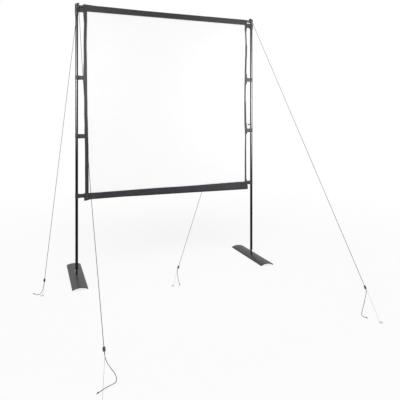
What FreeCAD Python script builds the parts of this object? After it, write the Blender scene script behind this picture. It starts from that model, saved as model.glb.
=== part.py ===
import FreeCAD, Part
import math
import os

import Sketcher

# Projection screen with stand: two sectional poles on steel plates, a cloth laced between them, guy lines.
# X runs along the screen, Y into its depth with the front at -Y, Z up. The origin is on the floor midway
# between the poles. All lengths are in millimetres.

Vector = FreeCAD.Vector
Rotation = FreeCAD.Rotation

UPRIGHT = Rotation()
HALF_TURN = Rotation(Vector(0, 0, 1), 180)
ALONG_X = Rotation(Vector(0, 1, 0), 90)
ALONG_MINUS_X = Rotation(Vector(0, 1, 0), -90)
ALONG_Y = Rotation(Vector(1, 0, 0), -90)
WEDGE_UP = Rotation(Vector(1, 0, 0), 90)
WEDGE_DOWN = Rotation(Vector(1, 0, 0), -90)
WEDGE_LEFTWARD = Rotation(Vector(0, 0, 1), Vector(-1, 0, 0), Vector(0, -1, 0), "XYZ")

SIDES = {"left": -1, "right": 1}

# Driving dimensions
SIZES = {
    # Stand
    "overall_height": 2200,
    "cloth_gap": 50,
    "tube_radius": 11,
    "tube_wall": 1.5,
    "first_joint": 235,
    "section_length": 500,
    "swage_length": 50,
    "swage_gap": 0.1,
    "swage_wall": 1.5,
    "swage_web": 3,
    # Base plates
    "plate_length": 600,
    "plate_width": 114,
    "plate_crown": 20,
    "plate_edge": 9,
    "plate_wall": 5,
    "lip_wall": 4,
    # Feet
    "stud_radius": 7,
    "stud_reach": 90,
    "pin_height": 52,
    "pin_radius": 2.5,
    "pin_gap": 0.05,
    "pin_overhang": 3,
    "pin_head_radius": 5,
    "pin_head_depth": 3,
    "bush_gap": 0.05,
    "bush_seat_gap": 0.2,
    "bush_neck": 4,
    "bush_flange": 3,
    "bush_length": 30,
    "bush_fit_gap": 0.05,
    # Thumb screws
    "screw_drop": 12,
    "screw_radius": 3,
    "screw_gap": 0.1,
    "nut_radius": 6.5,
    "nut_face": 17,
    "nut_root": 7.5,
    "knob_start": 24,
    "knob_end": 36,
    "knob_radius": 6,
    "knob_washer": 2,
    "knob_washer_radius": 4.5,
    # Corner fittings
    "bar_drop": 20,
    "socket_length": 93,
    "socket_roof": 33,
    "head_radius": 14,
    "head_depth": 32,
    "head_chamfer": 2.5,
    "waist_radius": 12.5,
    "collar_depth": 25,
    "socket_gap": 0.05,
    "side_collar_radius": 12,
    "side_collar_reach": 17,
    "spigot_length": 45,
    "eye_inset": 11,
    "eye_radius": 10,
    "eye_wire_radius": 2,
    # Cloth
    "cloth_half_width": 736.5,
    "bottom_shift": 9,
    "cloth_thickness": 1,
    "hem_width": 30,
    "hem_thickness": 3,
    "top_seam_drop": 36,
    "bottom_bar_height": 634,
    "bottom_seam_rise": 45,
    "sleeve_clearance": 0.3,
    "sleeve_wall": 1.6,
    "seam_depth": 6,
    "bar_end_inset": 4.5,
    "cap_flange": 3,
    "cap_plug": 12,
    # Straps
    "strap_width": 35,
    "strap_thickness": 1.6,
    "strap_clearance": 0.3,
    "strap_lap": 25,
    "left_top_strap_drop": 50,
    "right_top_strap_drop": 66,
    "right_top_strap_slant": 9,
    "left_upper_strap_height": 1605,
    "right_upper_strap_height": 1637,
    "left_lower_strap_height": 1132,
    "right_lower_strap_height": 1168,
    "left_bottom_strap_rise": 16,
    "right_bottom_strap_rise": 49,
    # Guy lines
    "rope_radius": 1.5,
    "tether_radius": 0.8,
    "tether_offset": 4.2,
    "tether_gap": 0.3,
    "runner_length": 20,
    "runner_setback": 26,
    "runner_half_span": 3,
    "runner_radius": 4,
    "runner_hole_gap": 0.3,
    "edge_wrap_radius": 20,
    "ground_ring_radius": 9,
    "ground_ring_wire_radius": 1.5,
    # Allowance for cutting tools
    "overrun": 5,
}

# Sums that several pieces follow
SUMS = {
    "pole_offset": "( cloth_half_width + cloth_gap )",
    "bar_height": "( overall_height - bar_drop )",
    "cloth_top": "( overall_height - bar_drop - top_seam_drop )",
    "cloth_bottom": "( bottom_bar_height + bottom_seam_rise )",
}

# Level straps. side and level: (height of the middle, what it goes round, reach of the tongue, behind the hem)
STRAPS = {
    ("left", "top"): ("overall_height - left_top_strap_drop", "waist_radius", "cloth_gap - strap_clearance", False),
    ("left", "upper"): ("left_upper_strap_height", "tube_radius", "cloth_gap + strap_lap", True),
    ("left", "lower"): ("left_lower_strap_height", "tube_radius", "cloth_gap + strap_lap", True),
    ("left", "bottom"): ("bottom_bar_height + left_bottom_strap_rise", "tube_radius",
                         "cloth_gap + bottom_shift - strap_clearance", False),
    ("right", "upper"): ("right_upper_strap_height", "tube_radius", "cloth_gap + strap_lap", True),
    ("right", "lower"): ("right_lower_strap_height", "tube_radius", "cloth_gap + strap_lap", True),
    ("right", "bottom"): ("bottom_bar_height + right_bottom_strap_rise", "tube_radius",
                          "cloth_gap - bottom_shift - strap_clearance", False),
}

# Share of a cord's shorter run that each of its arcs takes up
ARC_SHARE = 0.45

# Guy line routes, chosen by hand. The runner sits just above the point named by its index.
# The left side line runs outwards and a little forwards.
LEFT_SIDE_ROUTE = [
    (-777, -13.4, 2202),
    (-1040, -290, 76.5),
    (-1046, -293, 48),
    (-1053, -288, 22),
    (-1065, -281, 3),
    (-1080, -282, 1.5),
    (-1095, -273, 1.5),
    (-1106, -259, 1.5),
]

# The left front line sags gently towards its runner.
LEFT_FRONT_ROUTE = [
    (-772.5, -13.2, 2202),
    (-777.8, -267.4, 1796.8),
    (-780.1, -520.3, 1414.5),
    (-782.4, -773.1, 1055.5),
    (-784.4, -996.2, 757.9),
    (-786.2, -1189.6, 514.5),
    (-789.2, -1518.9, 130.3),
    (-786, -1522, 101),
    (-776, -1521, 72),
    (-759, -1522, 44),
    (-744, -1523, 18),
    (-737, -1531, 3),
    (-744, -1544, 1.5),
    (-758, -1554, 1.5),
    (-776, -1562, 1.5),
    (-803, -1577, 1.5),
    (-828, -1596, 1.5),
]

RIGHT_FRONT_ROUTE = [
    (775.5, -13.5, 2202),
    (903.3, -1387.5, 155.4),
    (902, -1390, 124),
    (898, -1382, 88),
    (892, -1373, 54),
    (884, -1369, 24),
    (876, -1374, 5),
    (869, -1386, 1.5),
    (867, -1400, 1.5),
    (873, -1414, 1.5),
]

# The right rear line goes down behind the cloth and turns forward round the bottom sleeve.
RIGHT_REAR_ROUTE = [
    (775.5, 13.5, 2202),
    (303, 17.4, 628),
    (-61, -393.1, 90.8),
    (-63, -398, 61),
    (-59, -396, 32),
    (-54, -400, 11),
    (-54, -413, 2),
    (-58, -430, 1.5),
    (-58, -445, 1.5),
    (-63, -458, 1.5),
]

# name: (route, index of the runner's point, ground ring's centre, side of the tether, radii set by an edge)
GUY_LINES = {
    "left_side": (LEFT_SIDE_ROUTE, 1, (-1053, -310), -1, {}),
    "left_front": (LEFT_FRONT_ROUTE, 6, (-824, -1682), -1, {}),
    "right_front": (RIGHT_FRONT_ROUTE, 1, (913, -1500), -1, {}),
    "right_rear": (RIGHT_REAR_ROUTE, 2, (-120, -462), 1, {1: "edge_wrap_radius"}),
}

document = FreeCAD.newDocument("projection_screen")
sheet = document.addObject("Spreadsheet::Sheet", "Sizes")
for row, (alias, value) in enumerate(SIZES.items(), start=1):
    sheet.set("A%d" % row, alias)
    sheet.set("B%d" % row, str(value))
    sheet.setAlias("B%d" % row, alias)
document.recompute()

nodes = []


def size(alias):
    """Reads one driving dimension from the sheet."""
    return float(getattr(sheet, alias))


def expression(text):
    """Writes out the shared sums, and the sheet's name before each alias."""
    words = []
    for word in text.replace("(", " ( ").replace(")", " ) ").split():
        if word in SUMS:
            word = expression(SUMS[word])
        words.append("Sizes." + word if word in SIZES else word)
    return " ".join(words)


def bind(thing, **sums):
    """Ties properties of an object to sums of driving dimensions."""
    for name, text in sums.items():
        thing.setExpression(name, expression(text))
    return thing


def place(thing, x="0", y="0", z="0", turn=UPRIGHT):
    """Turns an object and ties its position to sums of driving dimensions."""
    thing.Placement = FreeCAD.Placement(Vector(), turn)
    for axis, text in (("x", x), ("y", y), ("z", z)):
        thing.setExpression("Placement.Base." + axis, expression(text))
    return thing


def cylinder(name, radius, height, x="0", y="0", z="0", turn=UPRIGHT):
    """A round bar whose axis is turned from Z."""
    thing = bind(document.addObject("Part::Cylinder", name), Radius=radius, Height=height)
    return place(thing, x, y, z, turn)


def box(name, length, width, height, x="0", y="0", z="0"):
    """A block along the three axes."""
    thing = bind(document.addObject("Part::Box", name), Length=length, Width=width, Height=height)
    return place(thing, x, y, z)


def fuse(name, shapes):
    """One solid from several that overlap. A single shape is its own result."""
    if len(shapes) == 1:
        return shapes[0]
    thing = document.addObject("Part::MultiFuse", name)
    thing.Shapes = shapes
    return thing


def cut(name, base, tool):
    """A solid less another."""
    thing = document.addObject("Part::Cut", name)
    thing.Base = base
    thing.Tool = tool
    return thing


def keep(thing, name):
    """Labels a finished sub-part and lists it for writing."""
    thing.Label = name
    nodes.append(thing)
    return thing


def tube(name, length, swaged, screw_turn=None):
    """A pole or bar tube from its own origin up Z, with a narrow end below for the next tube's bore."""
    solids = [cylinder(name + "_skin", "tube_radius", length)]
    bores = []
    if swaged:
        solids.append(cylinder(name + "_swage", "tube_radius - tube_wall - swage_gap",
                               "swage_length + swage_web", z="0 - swage_length"))
        bores.append(cylinder(name + "_bore", "tube_radius - tube_wall", length + " + overrun", z="swage_web"))
        bores.append(cylinder(name + "_swage_bore", "tube_radius - tube_wall - swage_gap - swage_wall",
                              "swage_length + swage_web + 2 * overrun", z="0 - swage_length - overrun"))
    else:
        bores.append(cylinder(name + "_bore", "tube_radius - tube_wall", length + " + 2 * overrun",
                              z="0 - overrun"))
    if screw_turn is not None:
        height = length + " - screw_drop"
        nut = cylinder(name + "_nut", "nut_radius", "nut_face - nut_root", turn=screw_turn)
        reach = screw_turn.multVec(Vector(0, 0, 1))
        place(nut, "nut_root * %d" % round(reach.x), "nut_root * %d" % round(reach.y), height, screw_turn)
        solids.append(nut)
        bores.append(cylinder(name + "_nut_hole", "screw_radius + screw_gap", "nut_face + overrun",
                              z=height, turn=screw_turn))
    return cut(name + "_tube", fuse(name + "_solid", solids), fuse(name + "_bores", bores))


def plate_section(sketch):
    """The arched section of a base plate, with its turned-down lips."""
    half = size("plate_width") / 2
    inner = half - size("lip_wall")
    edge = size("plate_edge")
    wall = size("plate_wall")
    crown = size("plate_crown")

    def arch(reach, foot, top):
        return Part.Arc(Vector(reach, foot, 0), Vector(0, top, 0), Vector(-reach, foot, 0))

    def line(x0, y0, x1, y1):
        return Part.LineSegment(Vector(x0, y0, 0), Vector(x1, y1, 0))

    shapes = [
        line(-half, 0, -half, edge),
        arch(half, edge, crown),
        line(half, edge, half, 0),
        line(half, 0, inner, 0),
        line(inner, 0, inner, edge - wall),
        arch(inner, edge - wall, crown - wall),
        line(-inner, edge - wall, -inner, 0),
        line(-inner, 0, -half, 0),
    ]
    for shape in shapes:
        sketch.addGeometry(shape, False)
    joints = [(0, 2, 1, 2), (1, 1, 2, 1), (2, 2, 3, 1), (3, 2, 4, 1), (4, 2, 5, 1), (5, 2, 6, 1), (6, 2, 7, 1),
              (7, 2, 0, 1)]
    rules = [Sketcher.Constraint("Coincident", *joint) for joint in joints]
    rules += [Sketcher.Constraint("Vertical", side) for side in (0, 2, 4, 6)]
    rules += [Sketcher.Constraint("Horizontal", 3)]
    rules += [Sketcher.Constraint("PointOnObject", 0, 1, -1)]
    rules += [Sketcher.Constraint("Symmetric", 0, 1, 2, 2, -2)]
    rules += [Sketcher.Constraint("Symmetric", 6, 2, 3, 2, -2)]
    rules += [Sketcher.Constraint("PointOnObject", arc, 3, -2) for arc in (1, 5)]
    sketch.addConstraint(rules)
    measures = [
        (Sketcher.Constraint("DistanceX", 0, 1, 2, 2, 2 * half), "plate_width"),
        (Sketcher.Constraint("DistanceX", 3, 2, 2, 2, half - inner), "lip_wall"),
        (Sketcher.Constraint("DistanceY", 0, 1, 0, 2, edge), "plate_edge"),
        (Sketcher.Constraint("DistanceY", 4, 1, 4, 2, edge - wall), "plate_edge - plate_wall"),
        (Sketcher.Constraint("Radius", 1, arch_radius(half, crown - edge)),
         "( ( plate_width / 2 ) ^ 2 + ( plate_crown - plate_edge ) ^ 2 ) / ( 2 * ( plate_crown - plate_edge ) )"),
        (Sketcher.Constraint("Radius", 5, arch_radius(inner, crown - edge)),
         "( ( plate_width / 2 - lip_wall ) ^ 2 + ( plate_crown - plate_edge ) ^ 2 )"
         " / ( 2 * ( plate_crown - plate_edge ) )"),
    ]
    for rule, text in measures:
        index = sketch.addConstraint(rule)
        sketch.setExpression("Constraints[%d]" % index, expression(text))


def arch_radius(half_span, rise):
    """Radius of a shallow arch from its span and rise."""
    return (half_span ** 2 + rise ** 2) / (2 * rise)


def origin_plane(body, role):
    """One of a body's own base planes."""
    return next(plane for plane in body.Origin.OriginFeatures if plane.Role == role)


def base_plate(side, sign):
    """Pressed plate, arched across its width, with a hole for the stud."""
    body = document.addObject("PartDesign::Body", side + "_plate_body")
    section = body.newObject("Sketcher::SketchObject", side + "_plate_section")
    section.AttachmentSupport = [(origin_plane(body, "XZ_Plane"), "")]
    section.MapMode = "FlatFace"
    plate_section(section)
    pad = body.newObject("PartDesign::Pad", side + "_plate_pad")
    pad.Profile = section
    pad.SideType = "Symmetric"
    bind(pad, Length="plate_length")
    document.recompute()
    ring = body.newObject("Sketcher::SketchObject", side + "_plate_hole_outline")
    ring.AttachmentSupport = [(origin_plane(body, "XY_Plane"), "")]
    ring.MapMode = "FlatFace"
    ring.addGeometry(Part.Circle(Vector(), Vector(0, 0, 1), size("stud_radius")), False)
    ring.addConstraint(Sketcher.Constraint("Coincident", 0, 3, -1, 1))
    index = ring.addConstraint(Sketcher.Constraint("Radius", 0, size("stud_radius")))
    ring.setExpression("Constraints[%d]" % index, expression("stud_radius"))
    hole = body.newObject("PartDesign::Pocket", side + "_plate_hole")
    hole.Profile = ring
    hole.SideType = "Symmetric"
    bind(hole, Length="2 * plate_crown + 2 * overrun")
    document.recompute()
    if hole.Shape.Volume >= pad.Shape.Volume:
        raise RuntimeError("the stud's hole cuts nothing")
    place(body, "pole_offset * %d" % sign)
    keep(body, side + "_base_plate")


def foot(side, sign):
    """The stud on the plate, its cross pin, and the bush that turns on the stud."""
    axis = "pole_offset * %d" % sign
    stud_bottom = "plate_crown - plate_wall"
    stud = cylinder(side + "_stud_bar", "stud_radius", "plate_wall + stud_reach", axis, z=stud_bottom)
    hole = cylinder(side + "_stud_hole", "pin_radius + pin_gap", "2 * stud_radius + 2 * overrun",
                    axis + " - stud_radius - overrun", z="pin_height", turn=ALONG_X)
    keep(cut(side + "_stud", stud, hole), side + "_base_stud")

    shank = cylinder(side + "_pin_shank", "pin_radius", "2 * stud_radius + 2 * pin_overhang",
                     axis + " - stud_radius - pin_overhang", z="pin_height", turn=ALONG_X)
    head = cylinder(side + "_pin_head", "pin_head_radius", "pin_head_depth",
                    axis + " - stud_radius - pin_overhang - pin_head_depth", z="pin_height", turn=ALONG_X)
    keep(fuse(side + "_pin", [shank, head]), side + "_foot_pin")

    seat = "pin_height + pin_radius + bush_seat_gap"
    flange = cylinder(side + "_bush_flange", "tube_radius", "bush_flange", axis, z=seat + " + bush_neck")
    barrel = cylinder(side + "_bush_barrel", "tube_radius - tube_wall - bush_fit_gap",
                      "bush_neck + bush_flange + bush_length", axis, z=seat)
    bore = cylinder(side + "_bush_bore", "stud_radius + bush_gap",
                    "bush_neck + bush_flange + bush_length + 2 * overrun", axis, z=seat + " - overrun")
    keep(cut(side + "_bush", fuse(side + "_bush_solid", [flange, barrel]), bore), side + "_foot_bush")


def pole(side, sign, screw_turn):
    """Five tubes: a short one on the foot, three whole ones, and the top one inside the corner fitting."""
    axis = "pole_offset * %d" % sign
    start = "pin_height + pin_radius + bush_seat_gap + bush_neck + bush_flange"
    lowest = tube(side + "_section_1", "( first_joint - ( %s ) )" % start, False)
    keep(place(lowest, axis, z=start), side + "_pole_section_1")
    for number in (2, 3, 4):
        turn = screw_turn if number == 3 else None
        section = tube("%s_section_%d" % (side, number), "section_length", True, turn)
        joint = "first_joint + section_length * %d" % (number - 2)
        keep(place(section, axis, z=joint), "%s_pole_section_%d" % (side, number))
    joint = "first_joint + section_length * 3"
    top = tube(side + "_section_5", "( overall_height - socket_roof - ( %s ) )" % joint, True)
    keep(place(top, axis, z=joint), side + "_pole_section_5")


def thumb_screw(side, sign, turn):
    """Hand screw through the pole's nut. Its tip stands just off the inner tube."""
    name = side + "_screw"
    tip = "tube_radius - tube_wall - swage_gap + screw_gap"
    length = "knob_end - ( %s )" % tip
    shank = cylinder(name + "_shank", "screw_radius", length, z=tip)
    washer = cylinder(name + "_washer", "knob_washer_radius", "knob_washer", z="knob_start - knob_washer")
    knob = cylinder(name + "_knob", "knob_radius", "knob_end - knob_start", z="knob_start")
    screw = fuse(name, [shank, washer, knob])
    height = "first_joint + section_length * 2 - screw_drop"
    keep(place(screw, "pole_offset * %d" % sign, z=height, turn=turn), side + "_thumb_screw")


def corner_fitting(side, sign):
    """Socket over the pole's top with a spigot for the top bar, and a flat ring on its roof."""
    bottom = "overall_height - socket_length"
    name = side + "_corner"
    collar = cylinder(name + "_collar", "head_radius", "collar_depth", z=bottom)
    waist = cylinder(name + "_waist", "waist_radius", "socket_length - head_chamfer", z=bottom)
    head = cylinder(name + "_head", "head_radius", "head_depth - head_chamfer", z="overall_height - head_depth")
    roof = bind(document.addObject("Part::Cone", name + "_roof"), Radius1="head_radius",
                Radius2="head_radius - head_chamfer", Height="head_chamfer")
    place(roof, z="overall_height - head_chamfer")
    side_collar = cylinder(name + "_side_collar", "side_collar_radius", "side_collar_reach", z="bar_height",
                           turn=ALONG_X)
    spigot = cylinder(name + "_spigot", "tube_radius - tube_wall - swage_gap", "side_collar_reach + spigot_length",
                      z="bar_height", turn=ALONG_X)
    solid = fuse(name + "_solid", [collar, waist, head, roof, side_collar, spigot])
    bore = cylinder(name + "_bore", "tube_radius + socket_gap", "socket_length - socket_roof + overrun",
                    z=bottom + " - overrun")
    inward = HALF_TURN if sign > 0 else UPRIGHT
    fitting = cut(name, solid, bore)
    keep(place(fitting, "pole_offset * %d" % sign, turn=inward), side + "_corner_fitting")

    ring = bind(document.addObject("Part::Torus", side + "_eye_ring"), Radius1="eye_radius",
                Radius2="eye_wire_radius")
    place(ring, "( pole_offset - eye_inset ) * %d" % sign, z="overall_height + eye_wire_radius")
    keep(ring, side + "_eye_ring")


def bar(prefix, half_length, height, shift="0"):
    """A bar of three tubes, the outer two plugged into the middle one."""
    third = "( ( %s ) * 2 / 3 )" % half_length
    middle = tube(prefix + "_middle", third, False)
    keep(place(middle, "%s - %s / 2" % (shift, third), z=height, turn=ALONG_X), prefix + "_middle")
    for side, sign in SIDES.items():
        outer = tube("%s_%s" % (prefix, side), third, True)
        turn = ALONG_X if sign > 0 else ALONG_MINUS_X
        start = "%s + %s / 2 * %d" % (shift, third, sign)
        keep(place(outer, start, z=height, turn=turn), "%s_%s" % (prefix, side))


def bar_caps(half_length, height, shift):
    """The two caps in the bottom bar's ends, as one group."""
    caps = []
    for side, sign in SIDES.items():
        outward = ALONG_X if sign > 0 else ALONG_MINUS_X
        inward = ALONG_MINUS_X if sign > 0 else ALONG_X
        end = "%s + ( %s ) * %d" % (shift, half_length, sign)
        flange = cylinder(side + "_cap_flange", "tube_radius", "cap_flange", end, z=height, turn=outward)
        plug = cylinder(side + "_cap_plug", "tube_radius - tube_wall - bush_fit_gap", "cap_plug", end, z=height,
                        turn=inward)
        caps.append(fuse(side + "_cap", [flange, plug]))
    group = document.addObject("Part::Compound", "bottom_bar_cap_pair")
    group.Links = caps
    keep(group, "bottom_bar_caps")


def teardrop(name, radius, tip_half, drop, turn, length):
    """A round pocket that narrows to a seam, along X."""
    half = "( %s ) / 2" % length
    barrel = cylinder(name + "_barrel", radius, length, "0 - " + half, turn=ALONG_X)
    flap = document.addObject("Part::Wedge", name + "_flap")
    bind(flap, Xmin="0 - " + half, Xmax=half, X2min="0 - " + half, X2max=half, Ymin="0", Ymax=drop,
         Zmin="0 - ( %s )" % radius, Zmax=radius, Z2min="0 - ( %s )" % tip_half, Z2max=tip_half)
    place(flap, turn=turn)
    return fuse(name, [barrel, flap])


def sleeve(name, height, drop, turn, shift="0"):
    """Sewn sleeve round a bar, closed by a seam along its other edge."""
    outer_radius = "( tube_radius + sleeve_clearance + sleeve_wall )"
    inner_radius = "( tube_radius + sleeve_clearance )"
    taper = "( %s - hem_thickness / 2 ) * ( 1 - seam_depth / %s )" % (outer_radius, drop)
    inner_tip = "%s - %s - sleeve_wall" % (outer_radius, taper)
    outside = teardrop(name + "_outside", outer_radius, "hem_thickness / 2", drop, turn, "2 * cloth_half_width")
    inside = teardrop(name + "_inside", inner_radius, inner_tip, drop + " - seam_depth", turn,
                      "2 * cloth_half_width + 2 * overrun")
    keep(place(cut(name + "_cloth", outside, inside), shift, z=height), name)


def leaning_sheet(name, left, right, thickness):
    """A flat upright piece between the sleeves' seams, whose lower end stands a little to the right."""
    sheet_piece = document.addObject("Part::Wedge", name)
    half = "%s / 2" % thickness
    bind(sheet_piece, Ymin="0", Ymax="cloth_top - cloth_bottom", Xmin=left + " + bottom_shift",
         Xmax=right + " + bottom_shift", X2min=left, X2max=right, Zmin="0 - " + half, Zmax=half,
         Z2min="0 - " + half, Z2max=half)
    return place(sheet_piece, z="cloth_bottom", turn=WEDGE_UP)


def cloth():
    """The white panel and the hems down its two sides, between the sleeves' seams."""
    inner = "cloth_half_width - hem_width"
    keep(leaning_sheet("screen_panel", "0 - ( %s )" % inner, inner, "cloth_thickness"), "screen_cloth")
    keep(leaning_sheet("left_hem_strip", "0 - cloth_half_width", "0 - ( %s )" % inner, "hem_thickness"),
         "left_side_hem")
    keep(leaning_sheet("right_hem_strip", inner, "cloth_half_width", "hem_thickness"), "right_side_hem")


def strap(side, level, height, core_radius, reach, behind_hem):
    """Webbing loop round the pole with a doubled tongue to the cloth's edge."""
    name = "%s_%s_strap" % (side, level)
    bottom = "0 - strap_width / 2"
    inner = core_radius + " + strap_clearance"
    start = "0" if side == "left" else "0 - ( %s )" % reach
    back = "hem_thickness / 2 + strap_clearance" if behind_hem else "0 - strap_thickness"
    wrap = cylinder(name + "_wrap", inner + " + strap_thickness", "strap_width", z=bottom)
    tongue = box(name + "_tongue", reach, "2 * strap_thickness", "strap_width", start, back, bottom)
    hole = cylinder(name + "_hole", inner, "strap_width + 2 * overrun", z=bottom + " - overrun")
    loop = cut(name, fuse(name + "_solid", [wrap, tongue]), hole)
    keep(place(loop, "pole_offset * %d" % SIDES[side], z=height), name)


def slanted_strap():
    """The right top strap: a loop round the fitting's collar whose tongue slants up to the sleeve's end."""
    name = "right_top_strap"
    inner = "head_radius + strap_clearance"
    run = "( cloth_gap - strap_clearance )"
    half_height = "( strap_width / 2 * ( 1 + ( right_top_strap_slant / %s ) ^ 2 ) ^ 0.5 )" % run
    wrap = cylinder(name + "_wrap", inner + " + strap_thickness", "strap_width", z="0 - strap_width / 2")
    tongue = document.addObject("Part::Wedge", name + "_tongue")
    bind(tongue, Ymin="0", Ymax=run, Xmin="0 - " + half_height, Xmax=half_height,
         X2min="right_top_strap_slant - " + half_height, X2max="right_top_strap_slant + " + half_height,
         Zmin="0 - strap_thickness", Zmax="strap_thickness", Z2min="0 - strap_thickness",
         Z2max="strap_thickness")
    tongue.Placement = FreeCAD.Placement(Vector(), WEDGE_LEFTWARD)
    hole = cylinder(name + "_hole", inner, "2 * ( strap_width + right_top_strap_slant )",
                    z="0 - strap_width - right_top_strap_slant")
    loop = cut(name, fuse(name + "_solid", [wrap, tongue]), hole)
    keep(place(loop, "pole_offset", z="overall_height - right_top_strap_drop"), name)


def cord_path(points, own_radii):
    """Straight runs joined by tangent arcs. Returns the wire and its arc radii."""
    knots = [Vector(*point) for point in points]
    edges = []
    radii = []
    here = knots[0]
    for index in range(1, len(knots) - 1):
        before = knots[index] - knots[index - 1]
        after = knots[index + 1] - knots[index]
        half_turn = before.getAngle(after) / 2
        radius = own_radii.get(index, ARC_SHARE * min(before.Length, after.Length) / math.tan(half_turn))
        tangent = radius * math.tan(half_turn)
        start = knots[index] - before.normalize() * tangent
        end = knots[index] + after.normalize() * tangent
        inwards = (after - before).normalize()
        middle = knots[index] + inwards * (radius / math.cos(half_turn) - radius)
        edges.append(Part.LineSegment(here, start).toShape())
        edges.append(Part.Arc(start, middle, end).toShape())
        radii.append(radius)
        here = end
    edges.append(Part.LineSegment(here, knots[-1]).toShape())
    return Part.Wire(edges), radii


def cord(name, points, radius, own_radii):
    """A round cord along its route."""
    path, radii = cord_path(points, own_radii)
    heading = Vector(*points[1]) - Vector(*points[0])
    section = Part.Wire(Part.Circle(Vector(*points[0]), heading, radius).toShape())
    shape = path.makePipeShell([section], True, False)
    expected = math.pi * radius ** 2 * path.Length
    print("%s: length %.0f, radii %s, volume ratio %.4f"
          % (name, path.Length, [round(r) for r in radii], shape.Volume / expected))
    thing = document.addObject("Part::Feature", name)
    thing.Shape = shape
    thing.Placement = FreeCAD.Placement()
    keep(thing, name)


def line_frame(route, runner_index, side):
    """Runner's centre, the line's direction there, and the level direction to the tether's side."""
    bend = Vector(*route[runner_index])
    direction = (bend - Vector(*route[runner_index - 1])).normalize()
    centre = bend - direction * size("runner_setback")
    across = direction.cross(Vector(0, 0, 1)).normalize() * side
    return centre, direction, across


def guy_line(name, route, runner_index, ring_centre, side, edge_radii):
    """The rope, its runner, the thin tether below the runner, and the ring that a ground peg holds."""
    own_radii = {index: size(alias) for index, alias in edge_radii.items()}
    cord(name + "_guy_line", route, size("rope_radius"), own_radii)

    centre, direction, across = line_frame(route, runner_index, side)
    low = "0 - runner_length / 2"
    core = box(name + "_runner_core", "2 * runner_half_span", "2 * runner_radius", "runner_length",
               "0 - runner_half_span", "0 - runner_radius", low)
    ends = [cylinder("%s_runner_end_%d" % (name, number), "runner_radius", "runner_length",
                     "runner_half_span * %d" % sign, z=low) for number, sign in enumerate(SIDES.values())]
    hole = cylinder(name + "_runner_hole", "rope_radius + runner_hole_gap", "runner_length + 2 * overrun",
                    z=low + " - overrun")
    runner = cut(name + "_runner_body", fuse(name + "_runner_solid", [core] + ends), hole)
    turn = Rotation(across, Vector(), direction, "ZXY")
    runner.Placement = FreeCAD.Placement(centre, turn)
    keep(runner, name + "_runner")

    start = centre + direction * (size("runner_length") / 2 + size("tether_gap")) + across * size("tether_offset")
    ring_height = size("ground_ring_wire_radius")
    ring_middle = Vector(ring_centre[0], ring_centre[1], ring_height)
    towards = (Vector(start.x, start.y, ring_height) - ring_middle).normalize()
    end = ring_middle + towards * size("ground_ring_radius") + Vector(0, 0, size("tether_radius"))
    cord(name + "_tether", [tuple(start), tuple(end)], size("tether_radius"), {})

    ring = bind(document.addObject("Part::Torus", name + "_ring"), Radius1="ground_ring_radius",
                Radius2="ground_ring_wire_radius")
    place(ring, str(ring_centre[0]), str(ring_centre[1]), "ground_ring_wire_radius")
    keep(ring, name + "_ground_ring")


# Stand
SCREW_TURNS = {"left": ALONG_Y, "right": ALONG_MINUS_X}
for side, sign in SIDES.items():
    base_plate(side, sign)
    foot(side, sign)
    pole(side, sign, SCREW_TURNS[side])
    thumb_screw(side, sign, SCREW_TURNS[side])
    corner_fitting(side, sign)

# Bars and cloth
bar("top_bar", "pole_offset - side_collar_reach", "bar_height")
bar("bottom_bar", "cloth_half_width - bar_end_inset", "bottom_bar_height", "bottom_shift")
bar_caps("cloth_half_width - bar_end_inset", "bottom_bar_height", "bottom_shift")
sleeve("top_sleeve", "bar_height", "top_seam_drop", WEDGE_DOWN)
sleeve("bottom_sleeve", "bottom_bar_height", "bottom_seam_rise", WEDGE_UP, "bottom_shift")
cloth()

# Straps
slanted_strap()
for (side, level), (height, core_radius, reach, behind_hem) in STRAPS.items():
    strap(side, level, height, core_radius, reach, behind_hem)

# Guy lines
for name, (route, runner_index, ring_centre, tether_side, edge_radii) in GUY_LINES.items():
    guy_line(name, route, runner_index, ring_centre, tether_side, edge_radii)

document.recompute()

# Checks before anything is written
for thing in document.Objects:
    if "Invalid" in thing.State or "Error" in thing.State:
        raise RuntimeError("%s failed: %s" % (thing.Name, thing.State))
for thing in nodes:
    if thing.Shape.isNull() or not thing.Shape.isValid():
        raise RuntimeError("%s has no valid shape" % thing.Label)

os.makedirs("parts", exist_ok=True)
for thing in nodes:
    thing.Shape.exportStep("parts/%s.step" % thing.Label)
print("%d sub-parts written" % len(nodes))
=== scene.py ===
# Projection screen with stand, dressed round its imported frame. Lengths are in metres.
import logging
import math
from dataclasses import dataclass, field
from enum import Enum
from typing import Callable, Sequence

import bmesh
import bpy
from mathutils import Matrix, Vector, noise


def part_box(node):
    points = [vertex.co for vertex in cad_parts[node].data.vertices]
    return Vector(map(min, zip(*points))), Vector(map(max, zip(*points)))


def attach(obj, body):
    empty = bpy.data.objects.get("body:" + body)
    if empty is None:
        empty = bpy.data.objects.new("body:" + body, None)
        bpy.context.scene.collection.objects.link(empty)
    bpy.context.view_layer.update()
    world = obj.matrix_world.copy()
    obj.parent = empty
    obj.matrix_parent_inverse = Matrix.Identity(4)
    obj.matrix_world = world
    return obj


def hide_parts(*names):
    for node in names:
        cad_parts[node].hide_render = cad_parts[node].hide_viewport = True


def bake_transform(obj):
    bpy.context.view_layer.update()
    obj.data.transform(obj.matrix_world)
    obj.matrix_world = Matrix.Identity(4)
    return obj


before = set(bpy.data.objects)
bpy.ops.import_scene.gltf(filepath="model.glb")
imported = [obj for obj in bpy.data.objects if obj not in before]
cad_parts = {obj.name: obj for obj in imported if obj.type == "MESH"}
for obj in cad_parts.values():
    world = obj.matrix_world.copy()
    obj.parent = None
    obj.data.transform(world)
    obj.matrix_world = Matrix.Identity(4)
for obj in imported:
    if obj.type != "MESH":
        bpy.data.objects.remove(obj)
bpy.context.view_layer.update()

LOG = logging.getLogger("projection_screen")

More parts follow.
